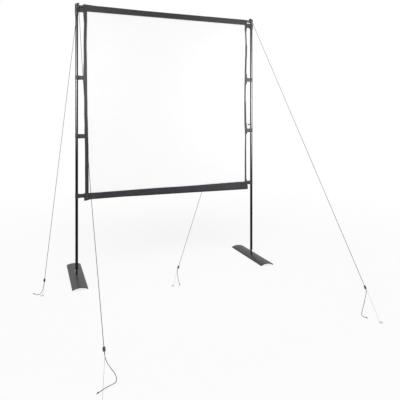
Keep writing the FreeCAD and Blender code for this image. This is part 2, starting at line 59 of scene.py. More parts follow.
Three = tuple[float, float, float]
Four = tuple[float, float, float, float]
Colour = Three
# A band is a stretch of values, low and high, and what each end becomes.
Band = Four
# A pattern is its patches to the metre, and how many finer layers it has.
Pattern = tuple[float, float]
Line = list[Vector]
# A spot is a point and the surface's normal there.
Spot = tuple[Vector, Vector]
# Knots are pairs of a place and the value there.
Knots = Sequence[tuple[float, float]]

TURN = 2 * math.pi
MM = 0.001
UP = Vector((0, 0, 1))
# A line is steep where its direction's Z is past this.
STEEP = 0.9
# Edges sharper than this, in degrees, stay sharp.
SHARP_ANGLE = 40


class Side(Enum):
    """The two ends of the screen, with the sign of their X."""

    LEFT = -1
    RIGHT = 1

    @property
    def word(self) -> str:
        """The side's word in the names of the pieces."""
        return self.name.lower()


class Slot(Enum):
    """The record's material slots, and the sewing thread, which has a slot of its own."""

    PLATE = "plate_paint"
    POLE = "pole_paint"
    STEEL = "bare_steel"
    PLASTIC = "black_plastic"
    WHITE = "white_cloth"
    BLACK = "black_cloth"
    WEBBING = "webbing"
    ROPE = "guy_rope"
    TETHER = "tether_cord"
    THREAD = "sewing_thread"


class Ground(Enum):
    """What a finish's pattern is fixed to: the solid's own space, or the cloth's flat cut."""

    SOLID = "Object"
    CUT = "UV"


def eased(knots: Knots, at: float) -> float:
    """Reads a smooth course through given knots.

    Args:
        knots: Pairs of place and value, in rising order of place.
        at: The place to read.

    Returns:
        The value there, level beyond the first and last knots.
    """
    if at <= knots[0][0]:
        return knots[0][1]
    for (low, first), (high, second) in zip(knots, knots[1:]):
        if at <= high:
            share = (at - low) / (high - low)
            return first + (second - first) * share * share * (3 - 2 * share)
    return knots[-1][1]


def evenly(start: float, end: float, steps: int) -> list[float]:
    """Divides a stretch into even steps, both of its ends with it."""
    return [start + (end - start) * k / steps for k in range(steps + 1)]


def unevenness(place: Three, scales: Three) -> float:
    """Reads smooth noise, from -1 to 1, at a place scaled along each axis."""
    return noise.noise(Vector([value * scale for value, scale in zip(place, scales)]))


def middle_of(node: str) -> Vector:
    """The middle of a CAD node's box at rest."""
    low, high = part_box(node)
    return (low + high) / 2


def run_lengths(line: Line) -> list[float]:
    """Measures a line from its start.

    Args:
        line: Points in order.

    Returns:
        The length from the first point to each point.
    """
    lengths = [0.0]
    for before, after in zip(line, line[1:]):
        lengths.append(lengths[-1] + (after - before).length)
    return lengths


def headings(line: Line) -> Line:
    """Finds a line's direction at each of its points.

    Args:
        line: Points in order.

    Returns:
        One unit vector for each point.
    """
    last = len(line) - 1
    return [(line[min(i + 1, last)] - line[max(i - 1, 0)]).normalized() for i in range(len(line))]


def ring_rows(line: Line, radii: Sequence[float], sides: int) -> list[Line]:
    """Sets rings square to a line, turned as little as can be from one to the next.

    Args:
        line: The tube's centreline.
        radii: The tube's radius at each point.
        sides: Corners of each ring.

    Returns:
        One row of corners for each point of the line.
    """
    ways = headings(line)
    start = UP if abs(ways[0].z) < STEEP else Vector((1, 0, 0))
    across = (start - ways[0] * start.dot(ways[0])).normalized()
    rows = []
    for point, way, radius in zip(line, ways, radii):
        across = (across - way * across.dot(way)).normalized()
        upright = way.cross(across)
        angles = [TURN * k / sides for k in range(sides)]
        rows.append([point + (across * math.cos(a) + upright * math.sin(a)) * radius for a in angles])
    return rows


def spline_line(points: Sequence[Sequence[float]], steps: int) -> Line:
    """Reads the smooth line that a spline draws from its control points.

    Args:
        points: The route's control points.
        steps: Points of the line for each step of the spline.

    Returns:
        Points along the line, from end to end.
    """
    curve = bpy.data.curves.new("route", "CURVE")
    curve.dimensions = "3D"
    spline = curve.splines.new("NURBS")
    spline.points.add(len(points) - 1)
    for knot, point in zip(spline.points, points):
        knot.co = (*point, 1)
    spline.order_u = 3
    spline.use_endpoint_u = True
    spline.resolution_u = steps
    holder = bpy.data.objects.new("route", curve)
    bpy.context.scene.collection.objects.link(holder)
    mesh = bpy.data.meshes.new_from_object(holder)
    line = [vertex.co.copy() for vertex in mesh.vertices]
    bpy.data.objects.remove(holder)
    bpy.data.curves.remove(curve)
    bpy.data.meshes.remove(mesh)
    return line


class Tree:
    """A node tree, built up step by step."""

    number_sockets: tuple[int, int, int] = (0, 2, 3)
    colour_sockets: tuple[int, int, int] = (0, 6, 7)
    colour_output: int = 2

    def __init__(self, owner: bpy.types.Material | bpy.types.World) -> None:
        """Opens the tree of a material or a world.

        Args:
            owner: The material or the world.
        """
        owner.use_nodes = True
        self.nodes = owner.node_tree.nodes
        self.links = owner.node_tree.links

    def feed(self, target: bpy.types.NodeSocket, source: object) -> None:
        """Joins an input to a node's output, or sets it to a value.

        Args:
            target: The input.
            source: The output or the value.
        """
        if isinstance(source, bpy.types.NodeSocket):
            self.links.new(source, target)
        else:
            target.default_value = source

    def node(self, kind: str, **settings: object) -> bpy.types.Node:
        """Adds a node.

        Args:
            kind: The node's type.
            settings: Its properties.

        Returns:
            The node.
        """
        made = self.nodes.new(kind)
        for name, value in settings.items():
            setattr(made, name, value)
        return made

    def sum(self, operation: str, *values: object) -> bpy.types.NodeSocket:
        """Works out one sum.

        Args:
            operation: The kind of sum.
            values: Its values or outputs.

        Returns:
            The result.
        """
        made = self.node("ShaderNodeMath", operation=operation)
        for target, value in zip(made.inputs, values):
            self.feed(target, value)
        return made.outputs[0]

    def spread(self, value: bpy.types.NodeSocket, band: Band) -> bpy.types.NodeSocket:
        """Maps a stretch of values to another and holds them within it.

        Args:
            value: The value.
            band: The stretch's low and high end, and what each becomes.

        Returns:
            The mapped value.
        """
        made = self.node("ShaderNodeMapRange")
        for target, source in zip(made.inputs, (value, *band)):
            self.feed(target, source)
        return made.outputs[0]

    def mix(self, share: bpy.types.NodeSocket, first: object, second: object) -> bpy.types.NodeSocket:
        """Goes from one number to another.

        Args:
            share: How far, from 0 to 1.
            first: The number at 0.
            second: The number at 1.

        Returns:
            The number between.
        """
        made = self.node("ShaderNodeMix")
        for number, source in zip(self.number_sockets, (share, first, second)):
            self.feed(made.inputs[number], source)
        return made.outputs[0]


class Shader(Tree):
    """The node tree of one finish, whose even values stand on the shader's own sockets."""

    middle: tuple[float, float] = (0.3, 0.7)
    bump_strength: float = 0.6

    def __init__(self, name: str, colour: Colour, roughness: float) -> None:
        """Starts a material.

        Args:
            name: The material's name.
            colour: Its main colour, linear.
            roughness: Its main roughness.
        """
        self.material = bpy.data.materials.new(name)
        super().__init__(self.material)
        self.surface = self.nodes["Principled BSDF"]
        self.even("Base Color", (*colour, 1))
        self.even("Roughness", roughness)

    def even(self, name: str, value: object) -> None:
        """Sets one of the shader's own sockets."""
        self.surface.inputs[name].default_value = value

    def place(self, ground: Ground, stretch: Three = (1, 1, 1)) -> bpy.types.NodeSocket:
        """Gives the place on the piece.

        Args:
            ground: What the place is measured on.
            stretch: How much it is stretched along each axis.

        Returns:
            The place.
        """
        made = self.node("ShaderNodeMapping")
        self.feed(made.inputs["Vector"], self.node("ShaderNodeTexCoord").outputs[ground.value])
        self.feed(made.inputs["Scale"], stretch)
        return made.outputs[0]

    def cloud(self, place: bpy.types.NodeSocket, pattern: Pattern) -> bpy.types.NodeSocket:
        """Draws soft uneven patches, from 0 to 1.

        Args:
            place: The place on the piece.
            pattern: Patches to the metre, and layers of finer ones on them.

        Returns:
            The pattern.
        """
        made = self.node("ShaderNodeTexNoise")
        for name, source in zip(("Vector", "Scale", "Detail"), (place, *pattern)):
            self.feed(made.inputs[name], source)
        return made.outputs["Fac"]

    def cells(self, place: bpy.types.NodeSocket, count: float) -> bpy.types.NodeSocket:
        """Draws small rounded cells, as in a moulded grain.

        Args:
            place: The place on the piece.
            count: Cells to the metre.

        Returns:
            The pattern.
        """
        made = self.node("ShaderNodeTexVoronoi")
        self.feed(made.inputs["Vector"], place)
        self.feed(made.inputs["Scale"], count)
        return made.outputs["Distance"]

    def stripes(self, place: bpy.types.NodeSocket, way: Three, pitch: float) -> bpy.types.NodeSocket:
        """Draws even stripes, from -1 to 1.

        Args:
            place: The place on the piece.
            way: The direction that the stripes lie across.
            pitch: From one stripe to the next.

        Returns:
            The pattern.
        """
        along = self.node("ShaderNodeVectorMath", operation="DOT_PRODUCT")
        self.feed(along.inputs[0], place)
        self.feed(along.inputs[1], way)
        return self.sum("SINE", self.sum("MULTIPLY", along.outputs["Value"], TURN / pitch))

    def tint(self, share: bpy.types.NodeSocket, first: Colour, second: Colour) -> None:
        """Colours the surface between two colours.

        Args:
            share: How far from the first colour to the second.
            first: The colour at 0.
            second: The colour at 1.
        """
        made = self.node("ShaderNodeMix", data_type="RGBA")
        for number, source in zip(self.colour_sockets, (share, (*first, 1), (*second, 1))):
            self.feed(made.inputs[number], source)
        self.feed(self.surface.inputs["Base Color"], made.outputs[self.colour_output])

    def dull(self, share: bpy.types.NodeSocket, least: float, most: float) -> None:
        """Varies the surface's roughness."""
        self.feed(self.surface.inputs["Roughness"], self.spread(share, (*self.middle, least, most)))

    def relief(self, height: bpy.types.NodeSocket, depth: float) -> None:
        """Raises the surface by a pattern.

        Args:
            height: The pattern.
            depth: The height of its highest places.
        """
        made = self.node("ShaderNodeBump")
        for name, source in (("Strength", self.bump_strength), ("Distance", depth), ("Height", height)):
            self.feed(made.inputs[name], source)
        self.feed(self.surface.inputs["Normal"], made.outputs["Normal"])


@dataclass(frozen=True)
class Paint:
    """Paint sprayed on steel, with orange peel, thin dust and fine scuffs."""

    slot: Slot
    colour: Colour
    dust: Colour
    roughness: float
    specular: float
    peel: float
    patches: Pattern = (9, 4)
    patch_band: Band = (0.45, 0.85, 0, 0.3)
    scuffs: Pattern = (3, 6)
    scuff_stretch: Three = (90, 90, 7)
    scuff_band: Band = (0.7, 0.78, 0, 0.45)
    bumps: Pattern = (420, 2)
    smoother: float = 0.02
    duller: float = 0.04

    def make(self) -> bpy.types.Material:
        """Builds the material.

        Returns:
            The material.
        """
        shader = Shader(self.slot.value, self.colour, self.roughness)
        shader.even("Specular IOR Level", self.specular)
        solid = shader.place(Ground.SOLID)
        patches = shader.cloud(solid, self.patches)
        scuffs = shader.cloud(shader.place(Ground.SOLID, self.scuff_stretch), self.scuffs)
        dust = shader.spread(patches, self.patch_band)
        share = shader.sum("ADD", dust, shader.spread(scuffs, self.scuff_band))
        shader.tint(share, self.colour, self.dust)
        shader.dull(patches, self.roughness - self.smoother, self.roughness + self.duller)
        shader.relief(shader.cloud(solid, self.bumps), self.peel)
        return shader.material


@dataclass(frozen=True)
class Steel:
    """Bright plated steel with fine drawing marks."""

    slot: Slot = Slot.STEEL
    colour: Colour = (0.62, 0.62, 0.63)
    shade: Colour = (0.46, 0.46, 0.48)
    roughness: float = 0.26
    smoother: float = 0.05
    duller: float = 0.1
    patches: Pattern = (120, 4)
    marks: Pattern = (1, 2)
    mark_stretch: Three = (3000, 300, 300)
    mark_depth: float = 0.01 * MM

    def make(self) -> bpy.types.Material:
        """Builds the material.

        Returns:
            The material.
        """
        shader = Shader(self.slot.value, self.colour, self.roughness)
        shader.even("Metallic", 1.0)
        marks = shader.cloud(shader.place(Ground.SOLID, self.mark_stretch), self.marks)
        shader.tint(shader.cloud(shader.place(Ground.SOLID), self.patches), self.shade, self.colour)
        shader.dull(marks, self.roughness - self.smoother, self.roughness + self.duller)
        shader.relief(marks, self.mark_depth)
        return shader.material


@dataclass(frozen=True)
class Moulding:
    """Moulded plastic with a fine even grain."""

    slot: Slot = Slot.PLASTIC
    colour: Colour = (0.018, 0.018, 0.02)
    worn: Colour = (0.036, 0.036, 0.04)
    roughness: float = 0.42
    smoother: float = 0.06
    duller: float = 0.1
    specular: float = 0.4
    patches: Pattern = (45, 5)
    wear_band: Band = (0.5, 0.75, 0, 1)
    grain: float = 1500
    grain_depth: float = 0.05 * MM

    def make(self) -> bpy.types.Material:
        """Builds the material.

        Returns:
            The material.
        """
        shader = Shader(self.slot.value, self.colour, self.roughness)
        shader.even("Specular IOR Level", self.specular)
        solid = shader.place(Ground.SOLID)
        patches = shader.cloud(solid, self.patches)
        shader.tint(shader.spread(patches, self.wear_band), self.colour, self.worn)
        shader.dull(patches, self.roughness - self.smoother, self.roughness + self.duller)
        shader.relief(shader.cells(solid, self.grain), self.grain_depth)
        return shader.material


@dataclass(frozen=True)
class Weave:
    """Plain woven cloth: threads over and under, slight slubs and a soft nap."""

    slot: Slot
    colour: Colour
    thread: Colour
    pitch: float
    depth: float
    sheen: float
    sheen_roughness: float = 0.5
    specular: float = 0.12
    roughness: float = 0.85
    smoothest: float = 0.8
    dullest: float = 0.92
    slubs: Pattern = (1, 3)
    slub_stretch: Three = (40, 900, 1)
    slub_band: Band = (0.35, 0.75, 0, 0.5)
    patches: Pattern = (14, 4)
    patch_band: Band = (0.3, 0.7, 0, 0.35)
    crossing_share: float = 0.12

    def make(self) -> bpy.types.Material:
        """Builds the material.

        Returns:
            The material.
        """
        shader = Shader(self.slot.value, self.colour, self.roughness)
        shader.even("Specular IOR Level", self.specular)
        shader.even("Sheen Weight", self.sheen)
        shader.even("Sheen Roughness", self.sheen_roughness)
        cut = shader.place(Ground.CUT)
        warp = shader.stripes(cut, (1, 0, 0), self.pitch)
        weft = shader.stripes(cut, (0, 1, 0), self.pitch)
        crossing = shader.sum("MULTIPLY", warp, weft)
        slubs = shader.cloud(shader.place(Ground.CUT, self.slub_stretch), self.slubs)
        patches = shader.cloud(cut, self.patches)
        share = shader.spread(slubs, self.slub_band)
        share = shader.sum("ADD", share, shader.spread(patches, self.patch_band))
        share = shader.sum("ADD", share, shader.sum("MULTIPLY", crossing, self.crossing_share))
        shader.tint(share, self.colour, self.thread)
        shader.dull(patches, self.smoothest, self.dullest)
        shader.relief(shader.sum("ADD", crossing, slubs), self.depth)
        return shader.material


@dataclass(frozen=True)
class Ribbing:
    """Woven webbing: ribs along the strap, fine picks across it, and paler bands."""

    slot: Slot = Slot.WEBBING
    colour: Colour = (0.022, 0.022, 0.026)
    pale: Colour = (0.1, 0.1, 0.11)
    roughness: float = 0.78
    specular: float = 0.12
    sheen: float = 0.08
    rib: float = 2.4 * MM
    pick: float = 1.1 * MM
    pick_way: Three = (1, 0.35, 0)
    pick_share: float = 0.5
    band: float = 11 * MM
    pale_band: Band = (0.2, 0.8, 0, 0.55)
    wear: Pattern = (90, 4)
    wear_band: Band = (0.4, 0.7, 0, 0.3)
    depth: float = 0.18 * MM

    def make(self) -> bpy.types.Material:
        """Builds the material.

        Returns:
            The material.
        """
        shader = Shader(self.slot.value, self.colour, self.roughness)
        shader.even("Specular IOR Level", self.specular)
        shader.even("Sheen Weight", self.sheen)
        cut = shader.place(Ground.CUT)
        ribs = shader.stripes(cut, (0, 1, 0), self.rib)
        picks = shader.stripes(cut, self.pick_way, self.pick)
        bands = shader.stripes(cut, (0, 1, 0), self.band)
        wear = shader.cloud(cut, self.wear)
        share = shader.sum("ADD", shader.spread(bands, self.pale_band), shader.spread(wear, self.wear_band))
        shader.tint(share, self.colour, self.pale)
        shader.relief(shader.sum("ADD", ribs, shader.sum("MULTIPLY", picks, self.pick_share)), self.depth)
        return shader.material


@dataclass(frozen=True)
class Braid:
    """Braided or twisted cord, with strands that cross at a slant."""

    slot: Slot
    colour: Colour
    fleck: Colour
    strand: float
    depth: float
    fleck_band: Band = (-0.6, 0.9, 0, 1)
    roughness: float = 0.7
    specular: float = 0.12
    patches: Pattern = (200, 3)
    smoothest: float = 0.6
    dullest: float = 0.8

    def make(self) -> bpy.types.Material:
        """Builds the material.

        Returns:
            The material.
        """
        shader = Shader(self.slot.value, self.colour, self.roughness)
        shader.even("Specular IOR Level", self.specular)
        cut = shader.place(Ground.CUT)
        rising = shader.stripes(cut, (1, 1, 0), self.strand)
        falling = shader.stripes(cut, (1, -1, 0), self.strand)
        crossing = shader.sum("MULTIPLY", rising, falling)
        shader.tint(shader.spread(crossing, self.fleck_band), self.colour, self.fleck)
        shader.dull(shader.cloud(cut, self.patches), self.smoothest, self.dullest)
        shader.relief(crossing, self.depth)
        return shader.material


FINISHES = (
    Paint(Slot.PLATE, (0.03, 0.03, 0.032), (0.075, 0.075, 0.078),
          roughness=0.34, specular=0.5, peel=0.05 * MM),
    Paint(Slot.POLE, (0.007, 0.007, 0.008), (0.014, 0.014, 0.016),
          roughness=0.2, specular=0.32, peel=0.015 * MM),
    Steel(),
    Moulding(),
    Weave(Slot.WHITE, (0.945, 0.945, 0.945), (0.925, 0.925, 0.93),
          pitch=0.7 * MM, depth=0.04 * MM, sheen=0.0),
    Weave(Slot.BLACK, (0.022, 0.0222, 0.0255), (0.062, 0.062, 0.071),
          pitch=0.9 * MM, depth=0.12 * MM, sheen=0.08),
    Ribbing(),
    Braid(Slot.ROPE, (0.012, 0.012, 0.013), (0.045, 0.045, 0.048), strand=2.4 * MM, depth=0.3 * MM),
    # The tether is a white cord. Its grey colour is painted shade: it stands in for the shade that makes a
    # white cord look grey against the white surround.
    Braid(Slot.TETHER, (0.3, 0.3, 0.305), (0.56, 0.56, 0.56), strand=1.3 * MM, depth=0.15 * MM),
    Braid(Slot.THREAD, (0.06, 0.058, 0.068), (0.15, 0.145, 0.165), strand=0.6 * MM, depth=0.05 * MM),
)


class Draft:
    """Corners, faces and flat-cut places gathered for one mesh."""

    crown_share: float = 0.25

    def __init__(self) -> None:
        """Starts an empty draft."""
        self.corners: Line = []
        self.faces: list[tuple[int, ...]] = []
        self.cuts: list[list[tuple[float, float]]] = []

    def grid(self, rows: Sequence[Line], closed: bool = False, looped: bool = False) -> int:
        """Adds a grid of four-sided faces, its flat-cut places in metres.

        Args:
            rows: Rows of corners, all as long.
            closed: Whether each row's end meets its start.
            looped: Whether the last row meets the first.

        Returns:
            The first corner's number.
        """
        first = len(self.corners)
        count, width = len(rows), len(rows[0])
        for row in rows:
            self.corners.extend(row)
        middle = width // 2
        along = run_lengths([row[middle] for row in rows] + ([rows[0][middle]] if looped else []))
        across = run_lengths(list(rows[0]) + ([rows[0][0]] if closed else []))
        for i in range(count if looped else count - 1):
            for j in range(width if closed else width - 1):
                places = ((i, j), (i, j + 1), (i + 1, j + 1), (i + 1, j))
                self.faces.append(tuple(first + a % count * width + b % width for a, b in places))
                self.cuts.append([(along[a], across[b]) for a, b in places])
        return first

    def cap(self, numbers: Sequence[int]) -> None:
        """Closes a ring of corners with one face.

        Args:
            numbers: The corners' numbers, in order.
        """
        origin = self.corners[numbers[0]]
        self.faces.append(tuple(numbers))
        self.cuts.append([((self.corners[n] - origin).x, (self.corners[n] - origin).z) for n in numbers])

    def closed_tube(self, rows: Sequence[Line]) -> None:
        """Adds a tube through rings of corners, with flat ends.

        Args:
            rows: The rings, all with as many corners.
        """
        first = self.grid(rows, closed=True)
        width = len(rows[0])
        for start in (first, first + (len(rows) - 1) * width):
            self.cap(range(start, start + width))

    def tube(self, line: Line, radii: Sequence[float], sides: int, looped: bool = False) -> None:
        """Adds a round tube along a line, with flat ends unless it is looped.

        Args:
            line: The tube's centreline.
            radii: Its radius at each point.
            sides: Corners of each ring.
            looped: Whether its end meets its start.
        """
        rows = ring_rows(line, radii, sides)
        if looped:
            self.grid(rows, closed=True, looped=True)
        else:
            self.closed_tube(rows)

    def shell(self, front: Sequence[Line], back: Sequence[Line]) -> None:
        """Adds a thin closed sheet between two grids of the same size.

        Args:
            front: Rows of corners on one side.
            back: Rows of corners on the other side.
        """
        rows = [list(near) + list(reversed(far)) for near, far in zip(front, back)]
        width = len(rows[0])
        first = self.grid(rows, closed=True)
        for start in (first, first + (len(rows) - 1) * width):
            for j in range(width // 2 - 1):
                self.cap((start + j, start + j + 1, start + width - 2 - j, start + width - 1 - j))

    def stitch(self, start: Vector, end: Vector, normal: Vector, width: float, height: float) -> None:
        """Adds one stitch of thread: a small bar that narrows away from the cloth.

        Args:
            start: Where the thread comes up.
            end: Where it goes down again.
            normal: The cloth's normal.
            width: Width of the thread.
            height: How far the thread stands out.
        """
        way = end - start
        across = way.normalized().cross(normal) * width / 2
        base = [start + across, start - across, end - across, end + across]
        sunk = [corner - normal * height for corner in base]
        crown = [corner + normal * height + (start + way / 2 - corner) * self.crown_share for corner in base]
        self.closed_tube([sunk, crown])

    def finish(self, name: str, sharp: float = SHARP_ANGLE) -> bpy.types.Object:
        """Makes the mesh object, smooth but for its sharp edges.

        Args:
            name: The object's name.
            sharp: Edges sharper than this, in degrees, stay sharp.

        Returns:
            The object.
        """
        mesh = bpy.data.meshes.new(name)
        mesh.from_pydata(self.corners, [], self.faces)
        layer = mesh.uv_layers.new(name="cut")
        places = [place for cut in self.cuts for place in cut]
        for loop, place in zip(layer.data, places):
            loop.uv = place
        shape = bmesh.new()
        shape.from_mesh(mesh)
        bmesh.ops.recalc_face_normals(shape, faces=shape.faces)
        shape.to_mesh(mesh)
        shape.free()
        mesh.shade_smooth()
        mesh.set_sharp_from_angle(angle=math.radians(sharp))
        piece = bpy.data.objects.new(name, mesh)
        bpy.context.scene.collection.objects.link(piece)
        return piece


class Workshop:
    """Gives each finished piece its finish, its slot and the body that carries it."""

    edge_segments: int = 2
    edge_angle: float = 50

    def __init__(self) -> None:
        """Makes every finish once."""
        self.materials = {finish.slot: finish.make() for finish in FINISHES}

    def hand_over(self, draft: Draft, name: str, slot: Slot, body: str | None, replaces: Sequence[str] = (),
                  sharp: float = SHARP_ANGLE) -> bpy.types.Object:
        """Turns a draft into a piece of the object.

        Args:
            draft: The piece's mesh.
            name: The piece's name.
            slot: The finish that it takes.
            body: The body that it rides on, or None where it is blended between two.
            replaces: The CAD nodes that it stands for.
            sharp: Edges sharper than this, in degrees, stay sharp.

        Returns:
            The piece.
        """
        piece = draft.finish(name, sharp)
        piece.data.materials.append(self.materials[slot])
        if body:
            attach(piece, body)
        if replaces:
            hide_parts(*replaces)
        LOG.info("%s rides on %s", name, body or "two bodies")
        return piece

    def dress(self, node: str, slot: Slot, bevel: float = 0) -> bpy.types.Object:
        """Gives a CAD node its finish, and eases its edges.

        Args:
            node: The node's name.
            slot: The finish that it takes.
            bevel: The width of the eased edges, or 0 for none.

        Returns:
            The node's object.
        """
        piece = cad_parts[node]
        piece.data.materials.clear()
        piece.data.materials.append(self.materials[slot])
        if bevel:
            easing = piece.modifiers.new("eased_edges", "BEVEL")
            easing.width = bevel
            easing.segments = self.edge_segments
            easing.limit_method = "ANGLE"
            easing.angle_limit = math.radians(self.edge_angle)
            easing.harden_normals = True
        return piece


@dataclass
class GuyLine:
    """A rope from an eye ring to the floor, with its runner, thin tether and ground ring."""

    name: str
    route: Sequence[Three]
    behind: bool = False
    tether_side: int = -1
    steps: int = 12
    radius: float = 1.5 * MM
    sides: int = 10
    eye_wire: float = 2 * MM
    hitch_turns: float = 1.1
    hitch_steps: int = 30
    hitch_share: float = 0.95
    collar: Knots = ((0.5 * MM, 1.1), (1.2 * MM, 1.75), (2.5 * MM, 1.9), (5.5 * MM, 1.85), (6.8 * MM, 1.7),
                     (7.5 * MM, 1.1))
    collar_sides: int = 12
    knot_size: float = 1.15 * MM
    knot_reach: float = 2.4
    knot_rise: float = 2.1
    knot_steps: int = 48
    knot_share: float = 0.9
    tail: Knots = ((2 * MM, 0.9), (4 * MM, 0.95), (6 * MM, 0.95), (8 * MM, 0.97), (10 * MM, 1.05),
                   (10.8 * MM, 0.6))
    tail_slope: float = 5 * MM
    tether_radius: float = 0.8 * MM
    tether_sides: int = 8
    tether_gap: float = 0.3 * MM
    tether_offset: float = 4.2 * MM
    tether_sag: float = 0.8 * MM
    runner_half: float = 10 * MM
    runner_edge: float = 0.5 * MM
    ring_radius: float = 9 * MM

    def build(self, shop: Workshop) -> None:
        """Makes the rope, its knots and the tether, and dresses what is on them.

        Args:
            shop: Where the pieces get their finishes.
        """
        line = spline_line(self.route, self.steps)
        draft = Draft()
        draft.tube(line, [self.radius] * len(line), self.sides)
        rope = shop.hand_over(draft, self.name + "_rope", Slot.ROPE, "frame", [self.name + "_guy_line"])
        hitch = self.hitch(shop, line)
        knot = self.end_knot(shop, line)
        runner = shop.dress(self.name + "_runner", Slot.PLASTIC, self.runner_edge)
        ring = shop.dress(self.name + "_ground_ring", Slot.STEEL)
        self.tether(shop, line)

    def hitch(self, shop: Workshop, line: Line) -> bpy.types.Object:
        """Wraps the rope's end once round the eye ring's wire and pinches it with a small collar.

        Args:
            shop: Where the piece gets its finish.
            line: The rope's centreline.

        Returns:
            The hitch.
        """
        outward = 1 if self.behind else -1
        reach = self.eye_wire + self.radius
        centre = line[0] - Vector((0, outward * reach, 0))
        coil = []
        for step in range(self.hitch_steps + 1):
            share = step / self.hitch_steps
            angle = TURN * self.hitch_turns * share
            drift = self.radius * (share - 0.5)
            coil.append(centre + Vector((drift, outward * reach * math.cos(angle), reach * math.sin(angle))))
        draft = Draft()
        draft.tube(coil, [self.radius * self.hitch_share] * len(coil), self.sides)
        way = (line[2] - line[0]).normalized()
        collar = [line[0] + way * place for place, _ in self.collar]
        draft.tube(collar, [self.radius * swell for _, swell in self.collar], self.collar_sides)
        return shop.hand_over(draft, self.name + "_hitch", Slot.ROPE, "frame")

    def end_knot(self, shop: Workshop, line: Line) -> bpy.types.Object:
        """Ties the rope's free end in a stopper knot that lies on the floor.

        Args:
            shop: Where the piece gets its finish.
            line: The rope's centreline.

        Returns:
            The knot, with its short tail.
        """
        way = headings(line)[-1]
        way.z = 0
        way.normalize()
        side = UP.cross(way)
        middle = line[-1] + way * self.knot_reach * self.knot_size
        middle.z = self.knot_rise * self.radius
        loop = []
        for step in range(self.knot_steps):
            angle = TURN * step / self.knot_steps
            forward = math.sin(angle) + 2 * math.sin(2 * angle)
            sideways = math.cos(angle) - 2 * math.cos(2 * angle)
            offset = way * forward + side * sideways - UP * math.sin(3 * angle)
            loop.append(middle + offset * self.knot_size)
        draft = Draft()
        draft.tube(loop, [self.radius * self.knot_share] * len(loop), self.sides, looped=True)
        drop = UP * (middle.z - self.radius)
        tail = [middle + way * place - drop * min(place / self.tail_slope, 1) for place, _ in self.tail]
        draft.tube(tail, [self.radius * swell for _, swell in self.tail], self.sides)
        return shop.hand_over(draft, self.name + "_end_knot", Slot.ROPE, "frame")

    def tether(self, shop: Workshop, rope: Line) -> None:
        """Draws the thin cord from the runner to the ground ring.

        Args:
            shop: Where the piece gets its finish.
            rope: The rope's centreline.
        """
        runner = middle_of(self.name + "_runner")
        nearest = min(range(len(rope)), key=lambda k: (rope[k] - runner).length)
        way = (rope[nearest] - rope[nearest - 1]).normalized()
        across = way.cross(UP).normalized() * self.tether_side
        start = runner + way * (self.runner_half + self.tether_gap) + across * self.tether_offset
        middle = middle_of(self.name + "_ground_ring")
        inwards = (Vector((start.x, start.y, middle.z)) - middle).normalized()
        end = middle + inwards * self.ring_radius + UP * self.tether_radius
        sag = (start + end) / 2 - UP * self.tether_sag
        line = spline_line([start, sag, end], self.steps)
        draft = Draft()
        draft.tube(line, [self.tether_radius] * len(line), self.tether_sides)
        cord = shop.hand_over(draft, self.name + "_tether_line", Slot.TETHER, None, [self.name + "_tether"])
        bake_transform(cord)


LEFT_SIDE_LINE = GuyLine(
    "left_side",
    ((-0.777, -0.0134, 2.202), (-1.0363, -0.2862, 0.106), (-1.04, -0.29, 0.0765), (-1.046, -0.293, 0.048),
     (-1.053, -0.288, 0.022), (-1.065, -0.281, 0.003), (-1.08, -0.282, 0.0015), (-1.095, -0.273, 0.0015),
     (-1.106, -0.259, 0.0015)))

LEFT_FRONT_LINE = GuyLine(
    "left_front",
    ((-0.7725, -0.0132, 2.202), (-0.7778, -0.2674, 1.7968), (-0.7801, -0.5203, 1.4145),
     (-0.7852, -0.7731, 1.0555), (-0.787, -0.9962, 0.7579), (-0.7862, -1.1896, 0.5145),
     (-0.789, -1.4994, 0.1531), (-0.7892, -1.5189, 0.1303), (-0.782, -1.522, 0.101),
     (-0.7665, -1.521, 0.072), (-0.7485, -1.522, 0.046), (-0.7355, -1.5235, 0.024),
     (-0.7325, -1.5285, 0.007), (-0.7375, -1.541, 0.0015), (-0.751, -1.5515, 0.0015),
     (-0.7695, -1.5595, 0.0015), (-0.803, -1.577, 0.0015), (-0.828, -1.596, 0.0015)))

RIGHT_FRONT_LINE = GuyLine(
    "right_front",
    ((0.7755, -0.0135, 2.202), (0.9016, -1.3697, 0.1819), (0.9028, -1.3822, 0.1634), (0.8985, -1.387, 0.147),
     (0.8935, -1.3865, 0.122), (0.8905, -1.381, 0.092), (0.889, -1.3725, 0.058), (0.883, -1.368, 0.026),
     (0.872, -1.374, 0.005), (0.869, -1.386, 0.0015), (0.867, -1.4, 0.0015), (0.873, -1.414, 0.0015)))

RIGHT_REAR_LINE = GuyLine(
    "right_rear",
    ((0.7755, 0.0135, 2.202), (0.3082, 0.0174, 0.6452), (0.303, 0.0174, 0.628), (0.2945, 0.0078, 0.6154),
     (-0.0468, -0.3771, 0.1118), (-0.061, -0.3931, 0.0908), (-0.063, -0.398, 0.061), (-0.059, -0.396, 0.032),
     (-0.054, -0.4, 0.011), (-0.054, -0.413, 0.002), (-0.058, -0.43, 0.0015), (-0.058, -0.445, 0.0015),
     (-0.063, -0.458, 0.0015)),
    behind=True, tether_side=1)

GUY_LINES = (LEFT_SIDE_LINE, LEFT_FRONT_LINE, RIGHT_FRONT_LINE, RIGHT_REAR_LINE)


